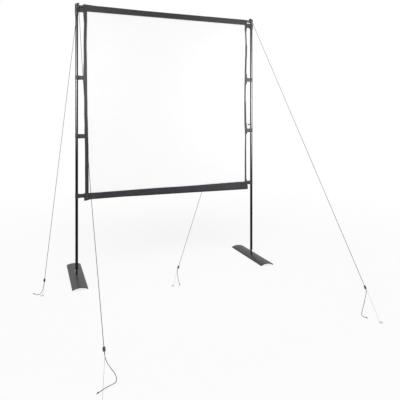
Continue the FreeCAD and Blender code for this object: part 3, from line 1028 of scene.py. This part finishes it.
@dataclass
class Stand:
    """Plates, studs, pins, poles, corner fittings and bars, with the weld beads and the hand screws."""

    plate_edge: float = 1.2 * MM
    stud_edge: float = 0.8 * MM
    pin_edge: float = 0.6 * MM
    bush_edge: float = 0.4 * MM
    tube_edge: float = 0.4 * MM
    fitting_edge: float = 0.8 * MM
    cap_edge: float = 0.5 * MM
    pole_sections: int = 5
    stud_radius: float = 7 * MM
    bead_radius: float = 1.9 * MM
    bead_offset: float = 1 * MM
    bead_wobble: float = 0.4 * MM
    bead_steps: int = 96
    bead_sides: int = 10
    ripples: int = 24
    ripple_share: float = 0.12
    screw_tip: float = 9.5 * MM
    screw_radius: float = 3 * MM
    screw_corners: int = 60
    thread_pitch: float = 1 * MM
    thread_depth: float = 0.35 * MM
    thread_steps: int = 5
    washer_start: float = 22 * MM
    washer_front: Knots = ((0, 4.1 * MM), (0.3 * MM, 4.5 * MM))
    washer_back: Knots = ((-0.3 * MM, 4.5 * MM), (-0.02 * MM, 4.2 * MM))
    knob_start: float = 24 * MM
    knob_end: float = 36 * MM
    knob_radius: float = 6 * MM
    knob_shares: Knots = ((0, 0.78), (0.03, 0.9), (0.09, 0.98), (0.2, 1), (0.5, 0.985), (0.8, 1),
                          (0.91, 0.98), (0.97, 0.9), (1, 0.74), (0.97, 0.6), (0.94, 0.3))
    flutes: int = 10
    flute_depth: float = 0.55 * MM

    def build(self, shop: Workshop) -> None:
        """Dresses the CAD pieces and adds the beads and the screws.

        Args:
            shop: Where the pieces get their finishes.
        """
        for side in Side:
            word = side.word
            shop.dress(word + "_base_plate", Slot.PLATE, self.plate_edge)
            shop.dress(word + "_base_stud", Slot.POLE, self.stud_edge)
            shop.dress(word + "_foot_pin", Slot.STEEL, self.pin_edge)
            shop.dress(word + "_foot_bush", Slot.PLASTIC, self.bush_edge)
            for number in range(1, self.pole_sections + 1):
                shop.dress("%s_pole_section_%d" % (word, number), Slot.POLE, self.tube_edge)
            shop.dress(word + "_corner_fitting", Slot.PLASTIC, self.fitting_edge)
            shop.dress(word + "_eye_ring", Slot.POLE)
            self.bead(shop, side)
            self.screw(shop, side)
        for bar in ("top_bar", "bottom_bar"):
            for part in ("left", "middle", "right"):
                shop.dress("%s_%s" % (bar, part), Slot.POLE, self.tube_edge)
        shop.dress("bottom_bar_caps", Slot.PLASTIC, self.cap_edge)

    def bead(self, shop: Workshop, side: Side) -> None:
        """Lays the rippled weld bead round the stud's foot.

        Args:
            shop: Where the piece gets its finish.
            side: The foot that it belongs to.
        """
        centre = middle_of(side.word + "_base_stud")
        centre.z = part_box(side.word + "_base_plate")[1].z
        line, radii = [], []
        for step in range(self.bead_steps):
            angle = TURN * step / self.bead_steps
            spoke = Vector((math.cos(angle), math.sin(angle), 0))
            wobble = self.bead_wobble * noise.noise(Vector((spoke.x, spoke.y, side.value)))
            line.append(centre + spoke * (self.stud_radius + self.bead_offset + wobble))
            radii.append(self.bead_radius * (1 + self.ripple_share * math.sin(self.ripples * angle)))
        draft = Draft()
        draft.tube(line, radii, self.bead_sides, looped=True)
        shop.hand_over(draft, side.word + "_weld_bead", Slot.POLE, side.word + "_base")

    def stations(self) -> list[tuple[float, float, float, float]]:
        """Lists the hand screw's rings, from its tip to the knob's hollow end.

        Returns:
            For each ring its distance from the pole's axis, its radius, and its flutes' and thread's depth.
        """
        rings = []
        place = self.screw_tip
        while place < self.washer_start:
            rings.append((place, self.screw_radius, 0, self.thread_depth))
            place += self.thread_pitch / self.thread_steps
        rings += [(self.washer_start + step, radius, 0, 0) for step, radius in self.washer_front]
        rings += [(self.knob_start + step, radius, 0, 0) for step, radius in self.washer_back]
        for share, size in self.knob_shares:
            place = self.knob_start + (self.knob_end - self.knob_start) * share
            rings.append((place, self.knob_radius * size, self.flute_depth * min(1, size * size), 0))
        return rings

    def screw(self, shop: Workshop, side: Side) -> None:
        """Turns the hand screw: a threaded shank, a washer and a fluted knob.

        Args:
            shop: Where the piece gets its finish.
            side: The pole that it belongs to.
        """
        node = side.word + "_thumb_screw"
        out = Vector((0, 1, 0)) if side is Side.LEFT else Vector((-1, 0, 0))
        across = out.cross(UP)
        axis = Vector((middle_of(side.word + "_pole_section_2").x, 0, middle_of(node).z))
        rows = []
        for reach, radius, flute, thread in self.stations():
            row = []
            for k in range(self.screw_corners):
                angle = TURN * k / self.screw_corners
                dent = flute * (0.5 + 0.5 * math.cos(self.flutes * angle)) ** 2
                groove = thread * (0.5 + 0.5 * math.sin(TURN * reach / self.thread_pitch - angle))
                spoke = UP * math.cos(angle) + across * math.sin(angle)
                row.append(axis + out * reach + spoke * (radius - dent - groove))
            rows.append(row)
        draft = Draft()
        draft.closed_tube(rows)
        shop.hand_over(draft, side.word + "_hand_screw", Slot.PLASTIC, side.word + "_screw", [node], sharp=55)


@dataclass
class Needle:
    """Sews rows of stitches into one mesh."""

    pitch: float = 6.5 * MM
    share: float = 0.62
    width: float = 0.7 * MM
    height: float = 0.35 * MM
    draft: Draft = field(default_factory=Draft)

    def sew(self, spot: Callable[[float], Spot], length: float) -> None:
        """Sews along a line on a surface.

        Args:
            spot: Gives the place and the surface's normal at a length along the line.
            length: The line's length.
        """
        count = max(1, round(length / self.pitch))
        step = length / count
        for number in range(count):
            start, normal = spot(number * step)
            end, _ = spot(number * step + step * self.share)
            self.draft.stitch(start, end, normal, self.width, self.height)

    def sew_box(self, spot: Callable[[float, float], Spot], low: tuple[float, float],
                high: tuple[float, float]) -> None:
        """Sews a box with a cross in it on a surface.

        Args:
            spot: Gives the place and the surface's normal at two lengths, along the surface and across it.
            low: The box's lowest two lengths.
            high: Its highest two.
        """
        corners = [low, (high[0], low[1]), high, (low[0], high[1])]
        sides = list(zip(corners, corners[1:] + corners[:1]))
        for (a0, b0), (a1, b1) in sides + [(corners[0], corners[2]), (corners[1], corners[3])]:
            length = math.hypot(a1 - a0, b1 - b0)
            self.sew(lambda run: spot(a0 + (a1 - a0) * run / length, b0 + (b1 - b0) * run / length), length)


@dataclass
class Sleeve:
    """Sewn sleeve round a bar: a doubled cloth that hangs from a seam, with lengthwise creases."""

    name: str
    node: str
    bar: str
    seed: float
    seam_shift: Knots = ((0, 0),)
    slack_reach: Knots = ((0, 0),)
    bar_gap: float = 0.9 * MM
    tip: float = 1.9 * MM
    thickness: float = 1.1 * MM
    crease: float = 3.2 * MM
    creases: Sequence[Four] = ((1, 2.6, 62, 0), (0.6, 6, 110, 7), (0.25, 30, 45, 3))
    least_slack: float = 0.15
    sunk_share: float = 0.5
    end_reach: float = 90 * MM
    end_growth: float = 0.7
    normal_step: float = 0.3 * MM
    columns: int = 190
    turns: int = 52
    seam_rows: tuple[float, float] = (4 * MM, 9 * MM)
    seam_margin: float = 3 * MM
    end_row: float = 9 * MM
    end_margin: float = 2 * MM
    patch_gap: float = 0.05 * MM
    patch_thickness: float = 1.2 * MM
    patch_margin: float = 3 * MM
    patch_pitch: float = 4 * MM
    patch_steps: int = 12

    def __post_init__(self) -> None:
        """Takes the sleeve's place from the frame."""
        low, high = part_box(self.node)
        bar_low, bar_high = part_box(self.bar)
        self.start, self.end = low.x, high.x
        self.axis = (bar_low.z + bar_high.z) / 2
        self.up = 1 if self.axis < (low.z + high.z) / 2 else -1
        self.drop = abs((high.z if self.up > 0 else low.z) - self.axis)
        self.radius = (bar_high.z - bar_low.z) / 2 + self.bar_gap
        reach = math.hypot(self.tip, self.drop)
        self.flank = math.sqrt(reach ** 2 - self.radius ** 2)
        self.tangent = math.atan2(self.tip, self.drop) + math.acos(self.radius / reach)
        self.girth = 2 * self.flank + self.radius * (TURN - 2 * self.tangent)

    def section(self, length: float) -> tuple[float, float]:
        """Walks round the sleeve's section from the seam's front edge.

        Args:
            length: Length along the section.

        Returns:
            Depth, and height above the bar towards the seam.
        """
        mirrored = length > self.girth / 2
        if mirrored:
            length = self.girth - length
        end = Vector((-self.tip, self.drop))
        touch = Vector((-math.sin(self.tangent), math.cos(self.tangent))) * self.radius
        if length <= self.flank:
            spot = end.lerp(touch, length / self.flank)
        else:
            angle = self.tangent + (length - self.flank) / self.radius
            spot = Vector((-math.sin(angle), math.cos(angle))) * self.radius
        return (-spot.x if mirrored else spot.x), spot.y

    def spot(self, x: float, length: float, proud: float = 0) -> Spot:
        """Finds a point on the sleeve's outside.

        Args:
            x: Place along the bar.
            length: Length round the section from the seam's front edge.
            proud: How far the point stands off the cloth's middle.

        Returns:
            The point and the outward normal there.
        """
        depth, height = self.section(length)
        ahead = self.section(min(length + self.normal_step, self.girth))
        behind = self.section(max(length - self.normal_step, 0))
        way = Vector((0, ahead[0] - behind[0], (ahead[1] - behind[1]) * self.up)).normalized()
        normal = Vector((0, way.z, -way.y)) * self.up
        away = min(length, self.girth - length) / self.flank
        slack = math.sin(math.pi * min(away, 1)) + self.least_slack
        crease = sum(weight * noise.noise(Vector((x * along, length * around, self.seed + shift)))
                     for weight, along, around, shift in self.creases)
        end_share = min(abs(x - self.start), abs(x - self.end)) / self.end_reach
        lift = self.crease * slack * crease * (1 + self.end_growth * math.exp(-end_share * end_share))
        near_seam = max(0.0, height / self.drop)
        past_bar = max(0.0, 1 - height / self.drop) / (1 + self.radius / self.drop)
        loose = self.up * eased(self.slack_reach, x) * past_bar ** 2
        shift = eased(self.seam_shift, x) * near_seam
        point = Vector((x, depth, self.axis + self.up * height + shift - loose))
        return point + normal * (max(lift, -self.sunk_share * self.bar_gap) + proud), normal

    def layer(self, places: Sequence[float], lengths: Sequence[float], proud: float) -> list[Line]:
        """Finds rows of points that stand off the cloth's middle alike."""
        return [[self.spot(x, length, proud)[0] for length in lengths] for x in places]

    def build(self, shop: Workshop) -> bpy.types.Object:
        """Makes the sleeve's cloth and its seam stitches.

        Args:
            shop: Where the pieces get their finishes.

        Returns:
            The sleeve.
        """
        lengths = evenly(0, self.girth, self.turns)
        places = evenly(self.start, self.end, self.columns)
        half = self.thickness / 2
        draft = Draft()
        draft.shell(self.layer(places, lengths, half), self.layer(places, lengths, -half))
        sleeve = shop.hand_over(draft, self.name, Slot.BLACK, "frame", [self.node], sharp=60)
        needle = Needle()
        width = self.end - self.start - 2 * self.seam_margin
        girth_run = self.girth - 2 * self.end_margin
        for row in self.seam_rows:
            for length in (row, self.girth - row):
                needle.sew(lambda run: self.spot(self.start + self.seam_margin + run, length, half), width)
        for x in (self.start + self.end_row, self.end - self.end_row):
            needle.sew(lambda run: self.spot(x, run + self.end_margin, half), girth_run)
        stitches = shop.hand_over(needle.draft, self.name + "_stitches", Slot.THREAD, "frame", sharp=70)
        return sleeve

    def patch(self, shop: Workshop, name: str, start: float, end: float, low: float, high: float) -> None:
        """Sews a short piece of webbing on the sleeve's front.

        Args:
            shop: Where the pieces get their finishes.
            name: The patch's name.
            start: Its left edge, from the sleeve's left end.
            end: Its right edge, from there too.
            low: Its edge nearer the seam, as a length round the section.
            high: Its other edge.
        """
        start += self.start
        end += self.start
        places = evenly(start, end, self.patch_steps)
        lengths = evenly(low, high, self.patch_steps)
        base = self.thickness / 2
        top = base + self.patch_thickness
        draft = Draft()
        draft.shell(self.layer(places, lengths, top), self.layer(places, lengths, base + self.patch_gap))
        shop.hand_over(draft, name, Slot.WEBBING, "frame", sharp=50)
        edge = self.patch_margin
        needle = Needle(self.patch_pitch)
        needle.sew_box(lambda x, length: self.spot(x, length, top), (start + edge, low + edge),
                       (end - edge, high - edge))
        shop.hand_over(needle.draft, name + "_stitches", Slot.THREAD, "frame", sharp=70)


@dataclass
class Hem:
    """The doubled strip down one edge of the cloth. It curls a little between the straps."""

    side: Side
    inner: Knots
    curl: Knots
    width: float = 30 * MM
    thickness: float = 2.2 * MM
    tuck: float = 3 * MM
    low_tuck: float = 15 * MM
    flat_bend: float = 1e-6
    waver: float = 0.7 * MM
    waver_scales: Three = (9, 1, 0)
    ripple: float = 0.8 * MM
    ripple_scales: Three = (16, 3, 5)
    fold_width: float = 2 * MM
    fold_share: float = 0.3
    inner_row: float = 3 * MM
    outer_row: float = 4 * MM
    stitch_margin: float = 6 * MM
    rows: int = 230
    columns: int = 12

    def __post_init__(self) -> None:
        """Takes the hem's height from the frame."""
        low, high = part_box(self.side.word + "_side_hem")
        self.low, self.high = low.z - self.low_tuck, high.z + self.tuck

    def edge(self, z: float) -> float:
        """The X of the white cloth's edge at a height."""
        return eased(self.inner, z) + self.waver * unevenness((z, self.side.value, 1), self.waver_scales)

    def spot(self, z: float, out: float, proud: float = 0) -> Spot:
        """Finds a point on the hem.

        Args:
            z: Height.
            out: Length across the hem from the white cloth's edge.
            proud: How far the point stands off the hem's middle, towards the front.

        Returns:
            The point and the normal towards the front.
        """
        bend = math.radians(eased(self.curl, z)) * 2 / self.width
        angle = bend * out
        if abs(bend) < self.flat_bend:
            x, y = out, 0.0
        else:
            x, y = math.sin(angle) / bend, (1 - math.cos(angle)) / bend
        sign = self.side.value
        ripple = self.ripple * (out / self.width) * unevenness((z, sign, 1), self.ripple_scales)
        normal = Vector((sign * math.sin(angle), -math.cos(angle), 0))
        return Vector((self.edge(z) + sign * x, y, z)) + normal * (proud + ripple), normal

    def face(self, sign: int) -> list[Line]:
        """Finds the corners of the hem's front or back, which draw together at the outer fold.

        Args:
            sign: 1 for the front, -1 for the back.

        Returns:
            Rows of corners from the white cloth outwards, from the bottom up.
        """
        rows = []
        for z in evenly(self.low, self.high, self.rows):
            row = []
            for out in evenly(0, self.width, self.columns):
                share = min(1, (self.width - out) / self.fold_width + self.fold_share)
                row.append(self.spot(z, out, sign * self.thickness / 2 * share)[0])
            rows.append(row)
        return rows

    def seam(self, run: float, out: float, sign: int) -> Spot:
        """Finds a point on a row of stitches, at a length up from the row's lower end."""
        point, normal = self.spot(self.low + self.stitch_margin + run, out, sign * self.thickness / 2)
        return point, normal * sign

    def build(self, shop: Workshop) -> bpy.types.Object:
        """Makes the hem and its two rows of stitches.

        Args:
            shop: Where the pieces get their finishes.

        Returns:
            The hem.
        """
        word = self.side.word
        draft = Draft()
        draft.shell(self.face(1), self.face(-1))
        hem = shop.hand_over(draft, word + "_hem", Slot.BLACK, "frame", [word + "_side_hem"], sharp=60)
        needle = Needle()
        length = self.high - self.low - 2 * self.stitch_margin
        for out in (self.inner_row, self.width - self.outer_row):
            for sign in (1, -1):
                needle.sew(lambda run: self.seam(run, out, sign), length)
        stitches = shop.hand_over(needle.draft, word + "_hem_stitches", Slot.THREAD, "frame", sharp=70)
        return hem


@dataclass
class Panel:
    """The white cloth between the hems, drawn flat but for faint waves."""

    left: Hem
    right: Hem
    thickness: float = 0.6 * MM
    tuck: float = 3 * MM
    wave: float = 2.4 * MM
    swells: Sequence[Four] = ((1, 1.6, 0.9, 2), (0.35, 5, 2.2, 9))
    edge_gain: float = 3
    rows: int = 96
    columns: int = 96

    def build(self, shop: Workshop) -> bpy.types.Object:
        """Makes the cloth.

        Args:
            shop: Where the piece gets its finish.

        Returns:
            The cloth.
        """
        low, high = self.left.low, self.left.high
        half = Vector((0, self.thickness / 2, 0))
        front, back = [], []
        for i, z in enumerate(evenly(low, high, self.rows)):
            fixed = math.sin(math.pi * i / self.rows)
            near, far = [], []
            places = evenly(self.left.edge(z) - self.tuck, self.right.edge(z) + self.tuck, self.columns)
            for j, x in enumerate(places):
                free = fixed * min(1, math.sin(math.pi * j / self.columns) * self.edge_gain)
                swell = sum(weight * noise.noise(Vector((x * along, z * upward, shift)))
                            for weight, along, upward, shift in self.swells)
                point = Vector((x, self.wave * free * swell, z))
                near.append(point - half)
                far.append(point + half)
            front.append(near)
            back.append(far)
        draft = Draft()
        draft.shell(front, back)
        panel = shop.hand_over(draft, "screen_panel", Slot.WHITE, "frame", ["screen_cloth"], sharp=60)
        self.right.edge(low) - self.left.edge(low) + 2 * self.tuck
        return panel


@dataclass
class Strap:
    """A webbing loop round the pole whose doubled tongue is sewn to the cloth's edge."""

    side: Side
    level: str
    core: float
    reach: float
    depth: float
    near_rise: float = 0
    front_shift: float = 0
    rear_shift: float = 0
    width: float = 35 * MM
    waist: float = 1.0
    thickness: float = 1.4 * MM
    gap: float = 0.4 * MM
    layer_gap: float = 0.05 * MM
    meet_reach: float = 11 * MM
    wave: float = 0.25 * MM
    wave_scales: Three = (0.35, 1.5, 50)
    edge_share: float = 0.55
    edge_power: int = 8
    tongue_steps: int = 8
    loop_steps: int = 26
    columns: int = 12
    smoothings: int = 2
    seam_reach: float = 20 * MM
    seam_margin: float = 3 * MM
    seam_half: float = 12 * MM
    thread_pitch: float = 3.6 * MM
    thread_width: float = 0.6 * MM
    thread_height: float = 0.3 * MM
    thread_gap: float = 0.1 * MM

    def plan(self) -> list[Spot]:
        """Draws the loop from above.

        Returns:
            Points and outward normals, as inward distance from the pole and depth, from the rear layer's end
            round the pole to the front layer's end.
        """
        radius = self.core + self.gap + self.thickness / 2
        layer = self.thickness / 2 + self.layer_gap
        meet = Vector((radius + self.meet_reach, self.depth))
        spread = math.acos(radius / meet.length)
        tilt = math.atan2(meet.y, meet.x)
        tongue = evenly(self.reach, meet.x, self.tongue_steps)
        angles = evenly(tilt + spread, tilt - spread + TURN, self.loop_steps)
        points = [Vector((inward, self.depth + layer)) for inward in tongue]
        points += [Vector((math.cos(angle), math.sin(angle))) * radius for angle in angles]
        points += [Vector((inward, self.depth - layer)) for inward in reversed(tongue)]
        for _ in range(self.smoothings):
            inner = [(a + b * 2 + c) / 4 for a, b, c in zip(points, points[1:], points[2:])]
            points = [points[0], *inner, points[-1]]
        return [(point, Vector((-way.y, way.x))) for point, way in zip(points, headings(points))]

    def stand_up(self, place: Vector, axis: float, z: float) -> Vector:
        """Takes a place seen from above, inward from the pole's X, to a height."""
        return Vector((axis - self.side.value * place.x, place.y, z))

    def build(self, shop: Workshop) -> bpy.types.Object:
        """Makes the strap and the stitches of its tongue.

        Args:
            shop: Where the pieces get their finishes.

        Returns:
            The strap.
        """
        node = "%s_%s_strap" % (self.side.word, self.level)
        axis = middle_of(self.side.word + "_pole_section_2").x
        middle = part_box(node)[0].z + self.width / 2
        course = self.plan()
        outside, inside = [], []
        for number, (place, normal) in enumerate(course):
            inward = max(place.x, 0) / self.reach
            front = number / (len(course) - 1)
            turned = self.front_shift * front + self.rear_shift * (1 - front)
            height = middle + self.near_rise * inward + (1 - inward) * turned
            narrow = 1 - (1 - self.waist) * math.sin(math.pi * min(inward, 1)) ** 2
            outer_row, inner_row = [], []
            for share in evenly(-1, 1, self.columns):
                z = height + share * self.width / 2 * narrow
                crown = self.thickness / 2 * (1 - self.edge_share * abs(share) ** self.edge_power)
                wave = self.wave * unevenness((number, share, middle), self.wave_scales)
                outer_row.append(self.stand_up(place + normal * (wave + crown), axis, z))
                inner_row.append(self.stand_up(place + normal * (wave - crown), axis, z))
            outside.append(outer_row)
            inside.append(inner_row)
        draft = Draft()
        draft.shell(outside, inside)
        strap = shop.hand_over(draft, node + "_webbing", Slot.WEBBING, "frame", [node], sharp=50)
        self.sew(shop, node, axis, middle + self.near_rise)
        return strap

    def sew(self, shop: Workshop, node: str, axis: float, middle: float) -> None:
        """Sews the tongue's box and cross, seen on its front and its back.

        Args:
            shop: Where the piece gets its finish.
            node: The strap's name.
            axis: The pole's X.
            middle: The tongue's height.
        """
        needle = Needle(pitch=self.thread_pitch, width=self.thread_width, height=self.thread_height)
        low = (self.reach - self.seam_reach, -self.seam_half)
        high = (self.reach - self.seam_margin, self.seam_half)
        for face in (1, -1):
            y = self.depth + face * (self.thickness + self.thread_gap)
            normal = Vector((0, face, 0))
            needle.sew_box(lambda inward, up: (self.stand_up(Vector((inward, y)), axis, middle + up), normal),
                           low, high)
        shop.hand_over(needle.draft, node + "_stitches", Slot.THREAD, "frame", sharp=70)


@dataclass
class Screen:
    """The cloth, its sleeves and hems, and the straps that lace it between the poles."""

    top: Sleeve = field(default_factory=lambda: Sleeve(
        "top_sleeve_cloth", "top_sleeve", "top_bar_middle", 3,
        slack_reach=((-0.7365, 9 * MM), (-0.62, 4 * MM), (-0.2, 0))))
    bottom: Sleeve = field(default_factory=lambda: Sleeve(
        "bottom_sleeve_cloth", "bottom_sleeve", "bottom_bar_middle", 11,
        seam_shift=((-0.7275, -9 * MM), (0, 2 * MM), (0.7455, 15 * MM)),
        slack_reach=((-0.7275, 13 * MM), (-0.66, 4 * MM), (-0.4, 0))))
    left: Hem = field(default_factory=lambda: Hem(
        Side.LEFT,
        inner=((0.68, -0.6925), (1.02, -0.6935), (1.166, -0.697), (1.36, -0.702), (1.555, -0.7045),
               (1.7, -0.7055), (1.895, -0.7085), (2.089, -0.705)),
        curl=((0.69, -12), (1.115, -12), (1.16, -10), (1.21, 28), (1.45, 33), (1.54, 31), (1.585, 12),
              (1.625, 12), (1.68, 16), (1.75, 34), (1.86, 37), (2.04, 37), (2.09, 26), (2.12, 10))))
    right: Hem = field(default_factory=lambda: Hem(
        Side.RIGHT,
        inner=((0.7, 0.719), (0.985, 0.7189), (1.097, 0.7215), (1.264, 0.714), (1.375, 0.7122),
               (1.542, 0.714), (1.71, 0.7185), (1.82, 0.7208), (1.877, 0.7236), (1.988, 0.7257),
               (2.044, 0.7238), (2.1, 0.7183)),
        curl=((0.69, 16), (0.73, 34), (0.985, 39), (1.122, 43), (1.15, 12), (1.168, 5), (1.2, 12),
              (1.264, 23), (1.375, 25), (1.487, 37), (1.58, 34), (1.61, 12), (1.637, 5), (1.664, 12),
              (1.71, 31), (1.82, 31), (1.932, 29), (1.988, 41), (2.044, 45), (2.1, 34), (2.14, 10))))
    patches: Sequence[tuple[str, float, float, float, float]] = (
        ("end_patch", 1 * MM, 31 * MM, 24 * MM, 62 * MM),
        ("second_patch", 46.5 * MM, 93.5 * MM, 25 * MM, 56 * MM))

    def build(self, shop: Workshop) -> None:
        """Makes every cloth piece and strap.

        Args:
            shop: Where the pieces get their finishes.
        """
        self.top.build(shop)
        self.bottom.build(shop)
        for patch in self.patches:
            self.bottom.patch(shop, *patch)
        self.left.build(shop)
        self.right.build(shop)
        Panel(self.left, self.right).build(shop)
        for strap in self.straps():
            strap.build(shop)

    def straps(self) -> list[Strap]:
        """Lists the eight straps, from the top down on each side.

        Returns:
            The straps.
        """
        pole, waist, head = 11 * MM, 12.5 * MM, 14 * MM
        behind = 3.4 * MM
        return [
            Strap(Side.LEFT, "top", waist, 62 * MM, 0, width=36 * MM, waist=0.96),
            Strap(Side.LEFT, "upper", pole, 74 * MM, behind, waist=0.93, front_shift=1 * MM,
                  rear_shift=-1 * MM),
            Strap(Side.LEFT, "lower", pole, 76 * MM, behind, waist=0.95, front_shift=3.5 * MM,
                  rear_shift=-3.5 * MM),
            Strap(Side.LEFT, "bottom", pole, 70 * MM, 0, waist=0.88, front_shift=-1 * MM, rear_shift=1 * MM),
            Strap(Side.RIGHT, "top", head, 62 * MM, 0, near_rise=9 * MM, front_shift=3 * MM,
                  rear_shift=-3 * MM, width=37 * MM),
            Strap(Side.RIGHT, "upper", pole, 68 * MM, behind, waist=0.95, front_shift=-1.5 * MM,
                  rear_shift=1.5 * MM),
            Strap(Side.RIGHT, "lower", pole, 68 * MM, behind, waist=0.95),
            Strap(Side.RIGHT, "bottom", pole, 60 * MM, 0, waist=0.95),
        ]


@dataclass
class Studio:
    """The floor, the white surround, the lights and the camera."""

    eye: Three = (-1.1045, -3.6543, 1.2573)
    heading: float = -20.69
    lens: float = 39.44
    film_width: float = 36
    rise: float = -0.1982
    far_clip: float = 60
    ambient: float = 0.58
    sun: float = 1.42
    sun_width: float = 50
    sun_tilt: float = 48
    sun_turn: float = -18
    front_gloss: float = 0.12
    back_gloss: float = 0.68
    behind_range: tuple[float, float] = (-0.3, 0.6)
    rise_range: tuple[float, float] = (-0.08, 0.3)
    glow_width: float = 0.76
    glow_steps: int = 6
    glow_spread: float = 100
    glow_watts: float = 4
    glows: Sequence[tuple[str, Three, float, float, float]] = (
        ("left_glow", (-1.12, -0.75, 1.68), -22, 1.4, 27), ("right_glow", (0.81, -0.8, 1.5), 4, 1.6, 44))
    floor_size: float = 24
    floor_drop: float = 0.4 * MM
    floor_colour: Colour = (0.95, 0.95, 0.95)
    floor_roughness: float = 0.9
    fade_reach: tuple[float, float] = (1.6, 4.5)
    shadow_share: float = 0.22
    mirror_share: float = 0.9

    def build(self) -> None:
        """Sets up all of it."""
        self.camera()
        self.surround()
        self.lamp()
        self.floor()
        for glow in self.glows:
            self.glow(*glow)
        bpy.context.scene.view_settings.view_transform = "Standard"

    def camera(self) -> None:
        """Stands the camera where the photograph was taken from."""
        data = bpy.data.cameras.new("camera")
        data.lens = self.lens
        data.sensor_width = self.film_width
        data.shift_y = self.rise
        data.clip_end = self.far_clip
        camera = bpy.data.objects.new("camera", data)
        camera.location = self.eye
        camera.rotation_euler = (math.radians(90), 0, math.radians(self.heading))
        bpy.context.scene.collection.objects.link(camera)
        bpy.context.scene.camera = camera

    def surround(self) -> None:
        """Makes the world: white to the eye and to gloss from behind, dim to gloss from the front."""
        world = bpy.data.worlds.new("surround")
        bpy.context.scene.world = world
        tree = Tree(world)
        back = tree.nodes["Background"]
        tree.feed(back.inputs["Color"], (1, 1, 1, 1))
        rays = tree.node("ShaderNodeLightPath").outputs
        parts = tree.node("ShaderNodeSeparateXYZ")
        tree.feed(parts.inputs[0], tree.node("ShaderNodeTexCoord").outputs["Generated"])
        behind = tree.spread(parts.outputs["Y"], (*self.behind_range, 0, 1))
        front = tree.spread(parts.outputs["Z"], (*self.rise_range, self.front_gloss, 1))
        around = tree.mix(behind, front, self.back_gloss)
        glossy = tree.mix(rays["Is Glossy Ray"], self.ambient, around)
        seen = tree.sum("MAXIMUM", rays["Is Camera Ray"], rays["Is Transmission Ray"])
        tree.feed(back.inputs["Strength"], tree.mix(seen, glossy, 1))

    def lamp(self) -> None:
        """Hangs one wide soft lamp high in front, a little to the left."""
        data = bpy.data.lights.new("soft_lamp", "SUN")
        data.energy = self.sun
        data.angle = math.radians(self.sun_width)
        lamp = bpy.data.objects.new("soft_lamp", data)
        lamp.rotation_euler = (math.radians(self.sun_tilt), 0, math.radians(self.sun_turn))
        bpy.context.scene.collection.objects.link(lamp)

    def floor(self) -> None:
        """Lays the pale floor, which keeps a faint shadow and fades to white."""
        half = self.floor_size / 2
        draft = Draft()
        draft.grid([[Vector((x, y, -self.floor_drop)) for x in (-half, half)] for y in (-half, half)])
        floor = draft.finish("floor")
        shader = Shader("pale_floor", self.floor_colour, self.floor_roughness)
        shader.even("Specular IOR Level", 0.0)
        white = shader.node("ShaderNodeEmission")
        rays = shader.node("ShaderNodeLightPath").outputs
        seen = rays["Is Camera Ray"]
        shader.feed(white.inputs["Strength"], shader.spread(seen, (0, 1, self.front_gloss, 1)))
        distance = shader.node("ShaderNodeVectorMath", operation="LENGTH")
        shader.feed(distance.inputs[0], shader.place(Ground.SOLID))
        far = shader.spread(distance.outputs["Value"], (*self.fade_reach, 1 - self.shadow_share, 1))
        mirrored = shader.sum("MULTIPLY", rays["Is Glossy Ray"], self.mirror_share)
        share = shader.sum("ADD", shader.sum("MULTIPLY", far, seen), mirrored)
        mixed = shader.node("ShaderNodeMixShader")
        for target, source in zip(mixed.inputs, (share, shader.surface.outputs[0], white.outputs[0])):
            shader.feed(target, source)
        shader.feed(shader.nodes["Material Output"].inputs["Surface"], mixed.outputs[0])
        floor.data.materials.append(shader.material)

    def glow(self, name: str, place: Three, turn: float, tall: float, strength: float) -> None:
        """Hangs soft lamps in front that only gloss can see, one within another, brightest at their middle.

        Args:
            name: What the lamps' names start with.
            place: Their middle.
            turn: How far they turn about the vertical, in degrees.
            tall: The height of the tallest.
            strength: Their brightness together at the middle.
        """
        for step in range(1, self.glow_steps + 1):
            data = bpy.data.lights.new("%s_%d" % (name, step), "AREA")
            data.shape = "RECTANGLE"
            data.size = self.glow_width
            data.size_y = tall * step / self.glow_steps
            share = (2 - (2 * step - 1) / self.glow_steps) / self.glow_steps
            data.energy = self.glow_watts * data.size * data.size_y * strength * share
            data.spread = math.radians(self.glow_spread)
            lamp = bpy.data.objects.new(data.name, data)
            lamp.location = place
            lamp.rotation_euler = (math.radians(90), 0, math.radians(turn))
            for sight in ("camera", "diffuse", "transmission", "volume_scatter"):
                setattr(lamp, "visible_" + sight, False)
            bpy.context.scene.collection.objects.link(lamp)


def main() -> None:
    """Builds the scene: the camera and the cords first, then the stand and the screen."""
    logging.basicConfig(level=logging.INFO, format="%(message)s")
    Studio().build()
    shop = Workshop()
    for guy_line in GUY_LINES:
        guy_line.build(shop)
    Stand().build(shop)
    Screen().build(shop)


if __name__ == "__main__":
    main()
